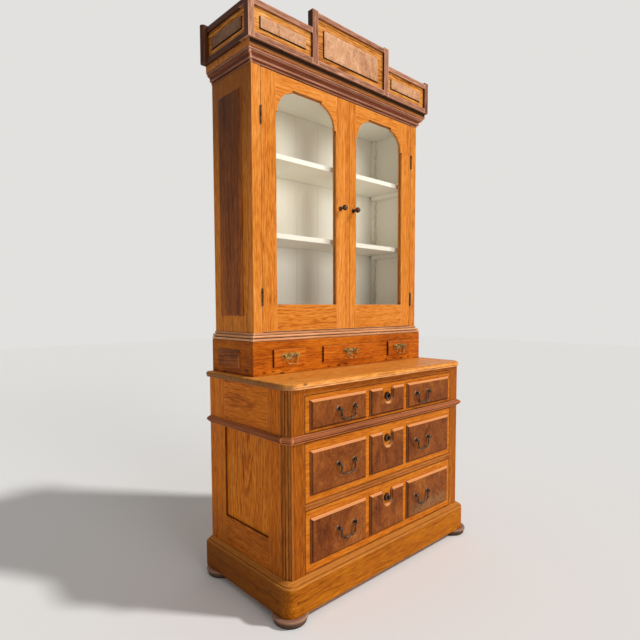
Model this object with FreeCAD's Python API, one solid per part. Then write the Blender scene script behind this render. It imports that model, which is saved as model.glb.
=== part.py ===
import FreeCAD, Part
import math
import os
from collections import namedtuple

# Haberdashery cabinet: a chest of three long drawers, a waist with three small drawers, a glazed
# two-door upper case, a cornice and a panelled parapet.  Millimetres, +Z up.  While it is modelled,
# y = 0 is the front face of the lower case and y grows towards the back; every solid is moved by
# origin_shift when it is saved, so that the origin lies under the middle of the whole cabinet.

V = FreeCAD.Vector

# ---------------------------------------------------------------- driving dimensions

# Lower case
case_width = 1067.0
case_depth = 512.0
case_cant_front = 15.0          # legs of the canted front corners
case_cant_side = 29.0
post_width = 73.5               # from the case's side to the drawer openings
post_depth = 45.0
side_thickness = 22.0
back_thickness = 8.0
rail_depth = 60.0
bottom_rail_height = 14.5
bottom_opening_height = 231.0
divider_height = 24.0
middle_opening_height = 224.0
mid_rail_height = 30.0
top_opening_height = 139.0
top_rail_height = 25.5
divider_bead_radius = 5.2
divider_bead_gap = 0.4          # between the two beads
divider_bead_sink = 1.6         # how far a bead's centre lies behind the rail's face
case_bottom_thickness = 14.0

# Side frames and panels of the lower case
side_front_stile = 118.0        # from the case front to the panel
side_back_stile = 110.0
side_bottom_rail = 131.0
side_top_board = 191.0
side_panel_thickness = 10.0
side_panel_recess = 8.0

# Reeds let into the canted corners
reed_radius = 6.0
reed_spacing = 12.4
reed_channel_width = 25.0
reed_channel_depth = 4.5

# Feet and plinth
foot_height = 29.5
foot_upper_radius = 65.0
foot_lower_radius = 60.0
foot_groove_z = 16.5            # groove between the two tiers of a foot
foot_groove = 2.0               # its height, and its depth behind the ends of the rounds
foot_round = 5.0                # bulge of a tier beyond its flat faces
foot_inset = 47.0               # foot centre from the plinth's side, front and back faces
plinth_height = 107.0           # from the feet to the ledge that carries the case
plinth_overhang = 28.6
plinth_board = 45.0             # board thickness and radius of the rounded corners
plinth_ovolo = 8.0
plinth_quirk = 2.0              # behind the ovolo
plinth_quirk_height = 3.0       # above the ledge
plinth_moulding_rise = 12.0     # moulding above the ledge
plinth_top_fillet = 1.5
plinth_back_board = 22.0
foot_block_size = 80.0

# Countertop
counter_thickness = 22.0
counter_overhang = 17.0
counter_clip = 40.0             # leg of the clipped front corners
counter_corner_round = 45.0     # rounding at both ends of a clip
counter_fillet_height = 8.0     # lower fillet band
counter_fillet_set = 3.0        # how far that band stands back
counter_edge_radius = 11.0

# Band moulding at the mid rail
band_projection = 18.0
band_height = 26.5

# Shapes of the three mouldings, from the foot up: shares of the projection and of the height.  A pair
# of points is an arc, through the first to the second.
band_shape = [(0.0, 0.0), (0.22, 0.0), (0.22, 0.09), ((0.56, 0.21), (0.81, 0.45)), (1.0, 0.45),
              (1.0, 0.55), ((0.89, 0.755), (0.5, 0.905)), (0.33, 0.905), (0.33, 1.0), (0.0, 1.0)]
waist_shape = [(0.82, 0.0), (0.82, 0.09), (1.0, 0.09), (1.0, 0.333), (0.53, 0.333), (0.53, 0.394),
               (0.59, 0.394), ((0.88, 0.545), (0.59, 0.697)), (0.18, 0.697), (0.18, 0.758),
               (0.29, 0.758), (0.29, 1.0)]
cornice_shape = [(0.12, 0.0), (0.12, 0.225), (0.32, 0.225), ((0.46, 0.3125), (0.32, 0.4)),
                 (0.38, 0.4), (0.38, 0.425), ((0.46, 0.55), (0.64, 0.625)),
                 ((0.82, 0.7), (0.88, 0.8)), (0.8, 0.8), (0.8, 0.85), (1.0, 0.85), (1.0, 1.0)]

# Raised panels of the long drawers
panel_thickness = 10.0
panel_edge = 3.5                # square edge below the bevel
panel_bevel = 8.5
centre_panel_half = 108.0
centre_panel_x = -9.0           # middle of the centre panel, its notch, escutcheon and lock
panel_spacing = 24.0            # between the centre panel and a side panel
side_panel_margin = 24.0        # from a side panel to the side of the opening
notch_radius = 26.5
notch_depth = 61.0
notch_shoulder = 13.0           # rounding where the notch meets the top of the panel

# Long drawers
drawer_gap = 2.0                # round each drawer front
drawer_front_thickness = 22.0
drawer_box_set = 5.0            # box sides in from the sides of the opening
drawer_side_thickness = 14.0
drawer_bottom_thickness = 8.0
drawer_bottom_rise = 12.0
drawer_box_drop = 15.0          # box sides below the opening's top
drawer_back_gap = 24.0          # behind the drawer boxes
runner_width = 81.5
runner_thickness = 20.0
runner_clearance = 0.3          # under the box sides
guide_height = 20.0
guide_clearance = 1.0           # beside the box
top_panel_foot = 10.5           # from the bottom of each drawer front to its panels
top_panel_head = 16.5           # from its panels to the top of the front
top_pull_rise = 60.0            # bail axis above the foot of the panels
top_key_drop = 37.0             # middle of the escutcheon below the top of the panels
middle_panel_foot = 25.5
middle_panel_head = 30.5
middle_pull_rise = 92.0
middle_key_drop = 30.0
bottom_panel_foot = 29.5
bottom_panel_head = 29.5
bottom_pull_rise = 96.0
bottom_key_drop = 34.0

# Long drawer fittings
pull_spacing = 88.0
pull_drop = 42.0
pull_left_margin = 178.0        # middle of the pull from the outer edge of its panel
pull_right_margin = 214.0
pull_standoff = 12.5            # bail axis in front of the panel
pull_head_radius = 6.5
pull_head_flat = 3.6            # from the middle of a head to the flat that faces the bail
pull_stem_radius = 3.5
pull_rose_radius = 11.0
pull_rose_thickness = 2.0
bail_radius = 3.4
bail_pin_radius = 2.0
bail_pin_clearance = 0.05       # radial, in the post head
bail_side_clearance = 0.4       # between bail and post head
bail_pin_reach = 0.6            # how far a pin goes into the post head, in radii of the head
bail_corner_radius = 18.0
escutcheon_radius = 17.0        # flange on the drawer front
escutcheon_thickness = 2.0
key_barrel_radius = 14.0
key_barrel_length = 10.0
key_barrel_round = 2.0
key_cup_radius = 8.5            # cup in the end of the barrel
key_cup_floor = 3.0             # above the drawer front
key_hole_radius = 3.0
key_hole_end = 1.0              # metal left behind the key hole
lock_width = 60.0
lock_thickness = 12.0
lock_reach = 18.0               # lock case below the key

# Upper case
upper_side_set = 32.5           # in from the sides of the lower case
upper_front = 241.0             # set back behind the lower case
upper_height = 994.0
upper_side = 22.0
upper_back_thickness = 10.0
upper_stile_width = 41.0
upper_stile_thickness = 20.0
upper_bottom = 22.0
upper_top = 14.0
behind_door = 2.0               # between a door's back and the boards behind it
back_board_count = 7
back_board_joint = 0.6

# Waist
waist_step = 17.0               # waist box beyond the upper case
waist_bottom_rail = 33.0
waist_opening_height = 61.0
waist_top_rail = 37.0
waist_board = 22.0
waist_drawer_bed = 12.0
waist_top_board = 12.0
waist_moulding_height = 33.0
moulding_inner = 45.0           # how far the waist moulding reaches in under the upper case
rear_rail = 22.0

# Small drawers
small_centre_half = 163.0
small_side_inner = 262.0
small_end_margin = 92.0         # from an outer drawer to the side of the waist
small_lip = 4.0
small_lip_thickness = 9.0
small_lip_round = 4.0
small_lip_clearance = 0.3
small_fit = 1.5                 # round the part of the front that enters the opening
small_box_wall = 10.0
small_box_bottom = 5.0
small_back_gap = 48.0           # behind the small drawer boxes
small_box_drop = 8.0
small_divider = 16.0
small_divider_clearance = 1.0

# Small drawer pulls
plate_thickness = 2.0
plate_half_width = 48.0
plate_rise = 15.0               # top of the plate above the bail axis
plate_drop = 25.0
plate_large_hole = 3.2
plate_middle_hole = 2.4
plate_small_hole = 1.6
small_pull_spacing = 68.0
small_pull_rise = 8.5           # bail axis above the middle of the front
small_pull_drop = 33.0
small_standoff = 8.5
small_head_radius = 4.4
small_head_flat = 2.7
small_stem_radius = 2.6
small_bail_radius = 2.2
small_bail_pin_radius = 1.5
small_bail_corner_radius = 15.0

# Doors
door_thickness = 22.0
door_bottom_gap = 3.0
door_top_gap = 3.0
door_hinge_gap = 2.0
meeting_line = 19.5             # x of the gap between the doors
meeting_gap = 2.0
closing_strip = 31.5
door_opening_inner = 62.0       # from the centre line of the cabinet
door_hinge_stile = 70.0
door_bottom_rail = 106.0
door_head = 43.0                # from the top edge down to the flat of the arch
door_spring_drop = 101.0        # from the flat of the arch down to its spring
door_arch_step = 9.0            # step in at the spring
door_arch_radius = 90.0
door_arch_width = 74.0          # from the foot of the arch to its flat
door_lip = 10.0                 # thickness in front of the glass
rebate_width = 8.0
glass_thickness = 3.0
glass_clearance = 1.0

# Door metalwork
knuckle_radius = 3.5
knuckle_clearance = 0.3         # in front of the door face and between knuckles
hinge_length = 62.0
hinge_leaf_thickness = 1.5
hinge_leaf_width = 17.0
hinge_pin_radius = 1.65
hinge_pin_clearance = 0.05
top_hinge_drop = 175.0          # hinge centre below the door top
bottom_hinge_rise = 133.5       # hinge centre above the door bottom
knob_left_x = -37.0
knob_right_x = 43.0
knob_rise = 522.0               # above the door bottom
knob_radius = 12.0
knob_reach = 40.0
knob_rose_radius = 10.0
knob_rose_edge = 1.5
knob_rose_thickness = 3.5
knob_rose_round = 3.5
knob_neck_radius = 4.5
knob_neck_flare = 0.8
knob_neck_start = 9.0           # where the neck is down to its radius

# Shelves, racks and cleats
shelf_thickness = 20.0
shelf_set = 15.0                # shelf and rack front behind the boards of the case
shelf_side_clearance = 1.0
rack_pitch = 44.5
rack_depth = 22.0
rack_width = 18.0
rack_tooth = 8.0
rack_first_notch = 17.5
shelf_notch_numbers = (7, 14)   # notches that carry the two shelves, counted from the bottom
cleat_height = 22.0
cleat_width = 34.0

# Panels on the sides
tall_panel_rise = 65.0          # above the foot of the upper case
tall_panel_drop = 72.0          # below the head of the upper case
tall_panel_front_margin = 66.0
tall_panel_back_margin = 52.0
square_panel_rise = 25.0        # above the countertop
square_panel_drop = 35.0        # below the waist moulding
square_panel_front_margin = 87.0
square_panel_back_margin = 50.0
square_panel_thickness = 9.0

# Cornice and top board
cornice_height = 40.0
cornice_projection = 25.0
cornice_inner = 40.0
top_board_thickness = 25.0
top_board_side_overhang = 27.0
top_board_front_overhang = 32.0

# Parapet
parapet_side_overhang = 12.0    # beyond the top board
parapet_front_overhang = 10.0
parapet_rail_thickness = 20.0
parapet_recess = 10.0           # fields behind the face of the frame
parapet_field_thickness = 10.0
parapet_bottom_rail = 20.0
parapet_side_height = 136.0     # to the top of the side sections' rail
parapet_side_rail = 20.0
parapet_end_post_width = 26.0
parapet_end_post_height = 145.0
parapet_centre_inner = 203.0
parapet_centre_post_width = 30.0
parapet_centre_post_depth = 28.0
parapet_centre_post_height = 209.0
parapet_centre_top = 203.0      # top of the centre rail
parapet_centre_rail = 17.0
parapet_panel_thickness = 6.0
parapet_panel_rise = 47.0       # panels above the top board
parapet_side_panel_height = 42.0
parapet_centre_panel_height = 103.0
parapet_centre_margin = 38.0    # from the centre panel to the posts
parapet_side_inner_margin = 29.0
parapet_side_outer_margin = 33.0
return_panel_front_margin = 54.0
return_panel_back_margin = 55.0
back_post_depth = 27.0
back_post_projection = 18.0

# ---------------------------------------------------------------- levels and derived places

case_half = case_width / 2
opening_half = case_half - post_width
side_inner = case_half - side_thickness
plinth_half = case_half + plinth_overhang
ledge_z = foot_height + plinth_height
bottom_opening_z = ledge_z + bottom_rail_height
divider_z = bottom_opening_z + bottom_opening_height
middle_opening_z = divider_z + divider_height
mid_rail_z = middle_opening_z + middle_opening_height
top_opening_z = mid_rail_z + mid_rail_height
top_rail_z = top_opening_z + top_opening_height
case_top_z = top_rail_z + top_rail_height
counter_z = case_top_z + counter_thickness
side_panel_outer = opening_half - side_panel_margin
pull_left_x = -side_panel_outer + pull_left_margin
pull_right_x = side_panel_outer - pull_right_margin
drawer_box_half = opening_half - drawer_box_set
drawer_box_back = case_depth - back_thickness - drawer_back_gap

upper_half = case_half - upper_side_set
upper_inner = upper_half - upper_side
waist_half = upper_half + waist_step
waist_front = upper_front - waist_step
waist_inner = waist_half - waist_board
waist_drawer_back = waist_front + waist_board
small_side_outer = waist_half - small_end_margin
small_box_back = case_depth - back_thickness - small_back_gap
small_opening_z = counter_z + waist_bottom_rail
small_opening_top = small_opening_z + waist_opening_height
waist_top_z = small_opening_top + waist_top_rail
upper_z = waist_top_z + waist_moulding_height
upper_top_z = upper_z + upper_height
cornice_top_z = upper_top_z + cornice_height
parapet_z = cornice_top_z + top_board_thickness

door_z = upper_z + door_bottom_gap
door_top_z = upper_top_z - door_top_gap
door_back = upper_front + door_thickness
door_hinge_edge = upper_half - upper_stile_width - door_hinge_gap
door_opening_outer = door_hinge_edge - door_hinge_stile
door_opening_z = door_z + door_bottom_rail
door_flat_z = door_top_z - door_head
inside_front = door_back + behind_door
inside_back = case_depth - upper_back_thickness
inside_z = upper_z + upper_bottom
shelf_front = inside_front + shelf_set

hinge_x = upper_half - upper_stile_width
hinge_y = upper_front - knuckle_radius - knuckle_clearance
panel_face = -panel_thickness

top_board_half = upper_half + top_board_side_overhang
top_board_front = upper_front - top_board_front_overhang
parapet_half = top_board_half + parapet_side_overhang
parapet_front = top_board_front - parapet_front_overhang
parapet_centre_outer = parapet_centre_inner + parapet_centre_post_width
parapet_post_inner = parapet_half - parapet_end_post_width

origin_shift = V(0, -(case_depth - plinth_overhang) / 2, 0)

Drawer = namedtuple("Drawer",
                    "name opening_z opening_height panel_below panel_above pull_rise key_drop")
long_drawers = [
    Drawer("top", top_opening_z, top_opening_height,
           top_panel_foot, top_panel_head, top_pull_rise, top_key_drop),
    Drawer("middle", middle_opening_z, middle_opening_height,
           middle_panel_foot, middle_panel_head, middle_pull_rise, middle_key_drop),
    Drawer("bottom", bottom_opening_z, bottom_opening_height,
           bottom_panel_foot, bottom_panel_head, bottom_pull_rise, bottom_key_drop),
]
SmallDrawer = namedtuple("SmallDrawer", "name left right")
small_drawers = [
    SmallDrawer("left", -small_side_outer, -small_side_inner),
    SmallDrawer("centre", -small_centre_half, small_centre_half),
    SmallDrawer("right", small_side_inner, small_side_outer),
]


# ---------------------------------------------------------------- geometry helpers

def box(x0, x1, y0, y1, z0, z1):
    return Part.makeBox(x1 - x0, y1 - y0, z1 - z0, V(x0, y0, z0))


def mirrored(shape):
    return shape.mirror(V(0, 0, 0), V(1, 0, 0))


def both_sides(shapes):
    return shapes + [mirrored(shape) for shape in shapes]


def closed_wire(steps, place):
    """Closed wire through steps.  A step is a point (a, b), or a pair (through, point) for an arc.

    place turns the two numbers of a point into a vector.
    """
    is_arc = [isinstance(step[0], tuple) for step in steps]
    ends = [step[1] if arc else step for step, arc in zip(steps, is_arc)]
    edges = []
    for index, step in enumerate(steps):
        start, end = place(*ends[index - 1]), place(*ends[index])
        if is_arc[index]:
            edges.append(Part.Arc(start, place(*step[0]), end).toShape())
        else:
            edges.append(Part.makeLine(start, end))
    return Part.Wire(edges)


def prism(steps, place, direction):
    return Part.Face(closed_wire(steps, place)).extrude(direction)


def cylinder(radius, length, start, direction):
    return Part.makeCylinder(radius, length, start, direction)


def half_space(point, away):
    """Large block whose near face is the vertical plane through point, on the side that away points to."""
    size = 8000.0
    block = Part.makeBox(size, size, size, V(0, -size / 2, -size / 2))
    block.rotate(V(0, 0, 0), V(0, 0, 1), math.degrees(math.atan2(away.y, away.x)))
    block.translate(point)
    return block


def mitred_lengths(path, profile, reach):
    """Lengths of moulding along path, mitred where they meet and square at the two free ends.

    path runs from the back of the left side round the front to the back of the right side, and the
    profile's points are (distance outward from the path, height).
    """
    directions = [(end - start).normalize() for start, end in zip(path, path[1:])]
    pieces = []
    for index, along in enumerate(directions):
        outward = V(along.y, -along.x, 0)
        joined_start, joined_end = index > 0, index < len(directions) - 1
        start = path[index] - along * (reach if joined_start else 0)
        end = path[index + 1] + along * (reach if joined_end else 0)
        piece = prism(profile, lambda out, z: start + outward * out + V(0, 0, z), end - start)
        if joined_start:
            piece = piece.cut(half_space(path[index], -(directions[index - 1] + along)))
        if joined_end:
            piece = piece.cut(half_space(path[index + 1], along + directions[index + 1]))
        pieces.append(piece)
    return pieces


def panel_outline(u0, u1, z0, z1, inset, notch):
    """Outline of a panel drawn in by inset, with a round-bottomed notch from the top if notch is true."""
    left, right, low, high = u0 + inset, u1 - inset, z0 + inset, z1 - inset
    steps = [(left, high), (left, low), (right, low), (right, high)]
    if notch:
        middle = (u0 + u1) / 2
        radius = notch_radius + inset
        spring = z1 - notch_depth + notch_radius
        shoulder_x, shoulder_z = notch_radius + notch_shoulder, z1 - notch_shoulder
        diagonal = (notch_shoulder - inset) * math.sqrt(0.5)
        steps += [(middle + shoulder_x, high),
                  ((middle + shoulder_x - diagonal, shoulder_z + diagonal), (middle + radius, shoulder_z)),
                  (middle + radius, spring),
                  ((middle, spring - radius), (middle - radius, spring)),
                  (middle - radius, shoulder_z),
                  ((middle - shoulder_x + diagonal, shoulder_z + diagonal), (middle - shoulder_x, high))]
    return steps


def moulding_profile(shape, projection, low, height):
    """The shape's points in millimetres: (distance outward, height above the floor)."""
    def scaled(point):
        return point[0] * projection, low + point[1] * height
    return [tuple(map(scaled, step)) if isinstance(step[0], tuple) else scaled(step) for step in shape]


def raised_panel(place, u0, u1, z0, z1, thickness=panel_thickness, notch=False):
    """Panel with a square edge and a bevelled border; place takes (along, outward, up)."""
    sections = [(0.0, 0.0), (panel_edge, 0.0), (thickness, panel_bevel)]
    wires = [closed_wire(panel_outline(u0, u1, z0, z1, inset, notch),
                         lambda u, z, depth=depth: place(u, depth, z))
             for depth, inset in sections]
    return Part.makeLoft(wires, True, True)


def on_front(face_y):
    return lambda u, depth, z: V(u, face_y - depth, z)


def on_right_side(face_x):
    return lambda u, depth, z: V(face_x + depth, u, z)


def plan(z):
    return lambda x, y: V(x, y, z)


def turned(profile, centre, axis):
    """Solid of revolution: profile points are (radius, distance along axis), axis is +Z or -Y."""
    if axis == "up":
        place = lambda radius, along: centre + V(radius, 0, along)
        direction = V(0, 0, 1)
    else:
        place = lambda radius, along: centre + V(radius, -along, 0)
        direction = V(0, -1, 0)
    return Part.Face(closed_wire(profile, place)).revolve(centre, direction, 360)


def save(node, solids):
    shapes = [solid.copy() for solid in solids]
    for shape in shapes:
        shape.translate(origin_shift)
    Part.makeCompound(shapes).exportStep(os.path.join("parts", node + ".step"))


# ---------------------------------------------------------------- lower case

def canted_outline(half, front, back, front_leg, side_leg):
    """Plan outline of a rectangle whose two front corners are cut off."""
    return [(-half, back), (-half, front + side_leg), (-half + front_leg, front),
            (half - front_leg, front), (half, front + side_leg), (half, back)]


def case_outline():
    return canted_outline(case_half, 0.0, case_depth, case_cant_front, case_cant_side)


def case_block(z0, z1):
    return prism(case_outline(), plan(z0), V(0, 0, z1 - z0))


def plinth():
    case_face = plinth_board - plinth_overhang
    face_top = ledge_z - plinth_ovolo
    diagonal = plinth_ovolo * math.sqrt(0.5)
    ovolo_foot = plinth_board - plinth_ovolo
    quirk = ovolo_foot - plinth_quirk
    band_foot = ledge_z + plinth_quirk_height
    top = ledge_z + plinth_moulding_rise
    profile = [(0.0, foot_height), (plinth_board, foot_height), (plinth_board, face_top),
               ((ovolo_foot + diagonal, face_top + diagonal), (ovolo_foot, ledge_z)),
               (quirk, ledge_z), (quirk, band_foot),
               (case_face + plinth_top_fillet, top), (0.0, top)]
    side_x = plinth_half - plinth_board
    front_y = plinth_board - plinth_overhang
    case = case_block(ledge_z, 2 * top)

    front = prism(profile, lambda out, z: V(-side_x, front_y - out, z), V(2 * side_x, 0, 0))
    side = prism(profile, lambda out, z: V(side_x + out, front_y, z), V(0, case_depth - front_y, 0))
    corner_face = Part.Face(closed_wire(profile, lambda out, z: V(side_x + out, front_y, z)))
    corner = corner_face.revolve(V(side_x, front_y, 0), V(0, 0, 1), -90)
    back = box(-side_x, side_x, case_depth - plinth_back_board, case_depth, foot_height, ledge_z)
    front_block = box(side_x - foot_block_size, side_x, front_y, front_y + foot_block_size,
                      foot_height, ledge_z)
    block_back = case_depth - plinth_back_board
    back_block = box(side_x - foot_block_size, side_x, block_back - foot_block_size, block_back,
                     foot_height, ledge_z)
    return ([front.cut(case), back]
            + both_sides([side.cut(case), corner.cut(case), front_block, back_block]))


def bun_feet():
    """Turned feet in two rounded tiers with a groove between them, the lower tier a little smaller."""
    upper, lower = foot_upper_radius, foot_lower_radius
    low_flat, high_flat = lower - foot_round, upper - foot_round
    groove_low, groove_high = foot_groove_z - foot_groove / 2, foot_groove_z + foot_groove / 2
    profile = [(0.0, 0.0), (low_flat, 0.0), ((lower, groove_low / 2), (low_flat, groove_low)),
               (low_flat - foot_groove, foot_groove_z), (high_flat, groove_high),
               ((upper, (groove_high + foot_height) / 2), (high_flat, foot_height)),
               (0.0, foot_height)]
    x = plinth_half - foot_inset
    front_y, back_y = foot_inset - plinth_overhang, case_depth - foot_inset
    return both_sides([turned(profile, V(x, y, 0), "up") for y in (front_y, back_y)])


def corner_axes():
    """Middle of the right canted corner, its outward normal and its direction in plan."""
    middle = V(case_half - case_cant_front / 2, case_cant_side / 2, 0)
    outward = V(case_cant_side, -case_cant_front, 0).normalize()
    return middle, outward, V(case_cant_front, case_cant_side, 0).normalize()


def cant_box(depth_from, depth_to, half_width, z0, z1):
    """Upright block in the right canted corner; depths are measured inward from the cant."""
    middle, outward, along = corner_axes()
    corners = [(-depth_from, -half_width), (-depth_from, half_width),
               (-depth_to, half_width), (-depth_to, -half_width)]
    place = lambda out, side: middle + outward * out + along * side + V(0, 0, z0)
    return prism(corners, place, V(0, 0, z1 - z0))


def front_posts():
    outline = [(opening_half, 0.0), (case_half - case_cant_front, 0.0), (case_half, case_cant_side),
               (case_half, post_depth), (opening_half, post_depth)]
    post = prism(outline, plan(ledge_z), V(0, 0, case_top_z - ledge_z))
    channel = cant_box(-reed_radius, reed_channel_depth, reed_channel_width / 2, 0.0, counter_z)
    return both_sides([post.cut(channel)])


def corner_reeds():
    middle, outward, along = corner_axes()
    behind = cant_box(reed_channel_depth, 4 * reed_radius, 2 * case_cant_side, ledge_z, case_top_z)
    reeds = []
    for side in (-1, 1):
        foot = middle - outward * reed_radius + along * (side * reed_spacing / 2) + V(0, 0, ledge_z)
        reeds.append(cylinder(reed_radius, case_top_z - ledge_z, foot, V(0, 0, 1)).cut(behind))
    return both_sides(reeds)


def side_frames():
    panel_back = case_depth - side_back_stile
    front_stile = box(side_inner, case_half, post_depth, side_front_stile, ledge_z, case_top_z)
    back_stile = box(side_inner, case_half, panel_back, case_depth, ledge_z, case_top_z)
    bottom_rail = box(side_inner, case_half, side_front_stile, panel_back,
                      ledge_z, ledge_z + side_bottom_rail)
    top_board = box(side_inner, case_half, side_front_stile, panel_back,
                    case_top_z - side_top_board, case_top_z)
    return both_sides([front_stile, back_stile, bottom_rail, top_board])


def side_panels():
    face = case_half - side_panel_recess
    panel = box(face - side_panel_thickness, face, side_front_stile, case_depth - side_back_stile,
                ledge_z + side_bottom_rail, case_top_z - side_top_board)
    return both_sides([panel])


def lower_back():
    return [box(-side_inner, side_inner, case_depth - back_thickness, case_depth, ledge_z, case_top_z)]


def drawer_rails():
    levels = [(ledge_z, bottom_rail_height), (divider_z, divider_height),
              (mid_rail_z, mid_rail_height), (top_rail_z, top_rail_height)]
    rails = [box(-opening_half, opening_half, 0.0, rail_depth, z, z + height) for z, height in levels]
    # two beads planted on the divider rail
    middle_z = divider_z + divider_height / 2
    behind = box(-opening_half, opening_half, 0.0, rail_depth, divider_z, divider_z + divider_height)
    bead_offset = divider_bead_radius + divider_bead_gap / 2
    for side in (-1, 1):
        start = V(-opening_half, divider_bead_sink, middle_z + side * bead_offset)
        bead = cylinder(divider_bead_radius, 2 * opening_half, start, V(1, 0, 0))
        rails.append(bead.cut(behind))
    return rails


def drawer_runners():
    back = case_depth - back_thickness
    inner = side_inner - runner_width
    pieces = [box(-side_inner, side_inner, rail_depth, back, ledge_z, ledge_z + case_bottom_thickness)]
    sides = []
    for top in (middle_opening_z, top_opening_z):
        sides.append(box(inner, side_inner, rail_depth, back, top - runner_thickness, top))
    sides.append(box(inner, side_inner, rail_depth, back, case_top_z - runner_thickness, case_top_z))
    guide_beds = [ledge_z + case_bottom_thickness, middle_opening_z, top_opening_z]
    for bed in guide_beds:
        sides.append(box(drawer_box_half + guide_clearance, side_inner, rail_depth, back,
                         bed, bed + guide_height))
    return pieces + both_sides(sides)


def band_moulding():
    profile = moulding_profile(band_shape, band_projection, top_opening_z - band_height, band_height)
    path = [V(x, y, 0) for x, y in case_outline()]
    return mitred_lengths(path, profile, band_projection)


def countertop():
    def slab(set_back, z0, z1):
        overhang = counter_overhang - set_back
        clip = counter_clip - set_back * (2 - math.sqrt(2))
        outline = canted_outline(case_half + overhang, -overhang, case_depth, clip, clip)
        shape = prism(outline, plan(z0), V(0, 0, z1 - z0))
        upright = [edge for edge in shape.Edges
                   if edge.BoundBox.ZLength > 1.0 and edge.CenterOfMass.y < case_depth - 1.0]
        return shape.makeFillet(counter_corner_round - set_back, upright)

    step_z = case_top_z + counter_fillet_height
    lower = slab(counter_fillet_set, case_top_z, step_z)
    upper = slab(0.0, step_z, counter_z)
    rounded = [edge for edge in upper.Edges
               if edge.BoundBox.ZMin > counter_z - 0.01 and edge.CenterOfMass.y < case_depth - 1.0]
    upper = upper.makeFillet(counter_edge_radius, rounded)
    return [lower.fuse(upper)]


# ---------------------------------------------------------------- waist

def small_opening(drawer):
    return drawer.left + small_lip, drawer.right - small_lip


def waist_case():
    front, back = waist_front, waist_drawer_back
    boards = [box(-waist_half, waist_half, front, back, counter_z, small_opening_z),
              box(-waist_half, waist_half, front, back, small_opening_top, waist_top_z)]
    edges = [-waist_half]
    for drawer in small_drawers:
        edges += small_opening(drawer)
    edges.append(waist_half)
    for left, right in zip(edges[::2], edges[1::2]):
        boards.append(box(left, right, front, back, small_opening_z, small_opening_top))
    boards += both_sides([box(waist_inner, waist_half, back, case_depth, counter_z, waist_top_z)])
    rear = case_depth - back_thickness
    boards.append(box(-waist_inner, waist_inner, rear, case_depth, counter_z, waist_top_z))
    boards.append(box(-waist_inner, waist_inner, back, rear,
                      small_opening_z - waist_drawer_bed, small_opening_z))
    boards.append(box(-waist_inner, waist_inner, back, rear, waist_top_z - waist_top_board, waist_top_z))
    # guide strips on both sides of each small drawer box
    for drawer in small_drawers:
        left, right = small_opening(drawer)
        left += small_fit - small_divider_clearance
        right -= small_fit - small_divider_clearance
        for x0, x1 in ((left - small_divider, left), (right, right + small_divider)):
            boards.append(box(x0, x1, back, rear, small_opening_z, waist_top_z - waist_top_board))
    return boards


def upper_path():
    """Plan path along the upper case's faces, from the back of the left side to the back of the right."""
    return [V(-upper_half, case_depth, 0), V(-upper_half, upper_front, 0),
            V(upper_half, upper_front, 0), V(upper_half, case_depth, 0)]


def moulding_with_rear_rail(shape, projection, inner, low, height):
    """Moulding round the upper case's front and sides, reaching in to inner, and a rail at the back."""
    profile = moulding_profile(shape, projection, low, height)
    profile = [(-inner, low)] + profile + [(-inner, low + height)]
    rear_half = upper_half - inner
    rear = box(-rear_half, rear_half, case_depth - rear_rail, case_depth, low, low + height)
    return mitred_lengths(upper_path(), profile, inner + projection) + [rear]


def waist_moulding():
    return moulding_with_rear_rail(waist_shape, waist_step, moulding_inner,
                                   waist_top_z, waist_moulding_height)


def applied_side_panels():
    low = upper_z + tall_panel_rise
    tall = raised_panel(on_right_side(upper_half), upper_front + tall_panel_front_margin,
                        case_depth - tall_panel_back_margin, low, upper_top_z - tall_panel_drop)
    low = counter_z + square_panel_rise
    square = raised_panel(on_right_side(waist_half), waist_front + square_panel_front_margin,
                          case_depth - square_panel_back_margin, low, waist_top_z - square_panel_drop,
                          square_panel_thickness)
    return both_sides([tall, square])


# ---------------------------------------------------------------- upper case

def upper_case():
    stile_back = upper_front + upper_stile_thickness
    stile = box(upper_half - upper_stile_width, upper_half, upper_front, stile_back,
                upper_z, upper_top_z)
    for leaf in case_hinge_leaves():
        stile = stile.cut(leaf)
    side = box(upper_inner, upper_half, stile_back, case_depth, upper_z, upper_top_z)
    bottom = box(-upper_inner, upper_inner, inside_front, inside_back, upper_z, inside_z)
    top = box(-upper_inner, upper_inner, inside_front, inside_back, upper_top_z - upper_top, upper_top_z)
    return both_sides([stile, side]) + [bottom, top]


def upper_back():
    width = (2 * upper_inner - (back_board_count - 1) * back_board_joint) / back_board_count
    boards = []
    for index in range(back_board_count):
        left = -upper_inner + index * (width + back_board_joint)
        boards.append(box(left, left + width, inside_back, case_depth, upper_z, upper_top_z))
    return boards


def rack(near_y, towards):
    """Toothed strip against the right side; its teeth point along y, towards +1 or -1."""
    tip = near_y + towards * rack_depth
    root = tip - towards * rack_tooth
    steps = [(near_y, upper_top_z - upper_top), (near_y, inside_z), (tip, inside_z)]
    notch_z = inside_z + rack_first_notch
    while notch_z < upper_top_z - upper_top - rack_pitch:
        steps += [(tip, notch_z), (root, notch_z)]
        steps.append((tip, notch_z + rack_pitch - rack_tooth))
        notch_z += rack_pitch
    steps.append((tip, upper_top_z - upper_top))
    x0 = upper_inner - rack_width
    return prism(steps, lambda y, z: V(x0, y, z), V(rack_width, 0, 0))


def rack_pair():
    return [rack(shelf_front, 1), rack(inside_back, -1)]


def shelf_notch_z(notch):
    return inside_z + rack_first_notch + notch * rack_pitch


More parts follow.
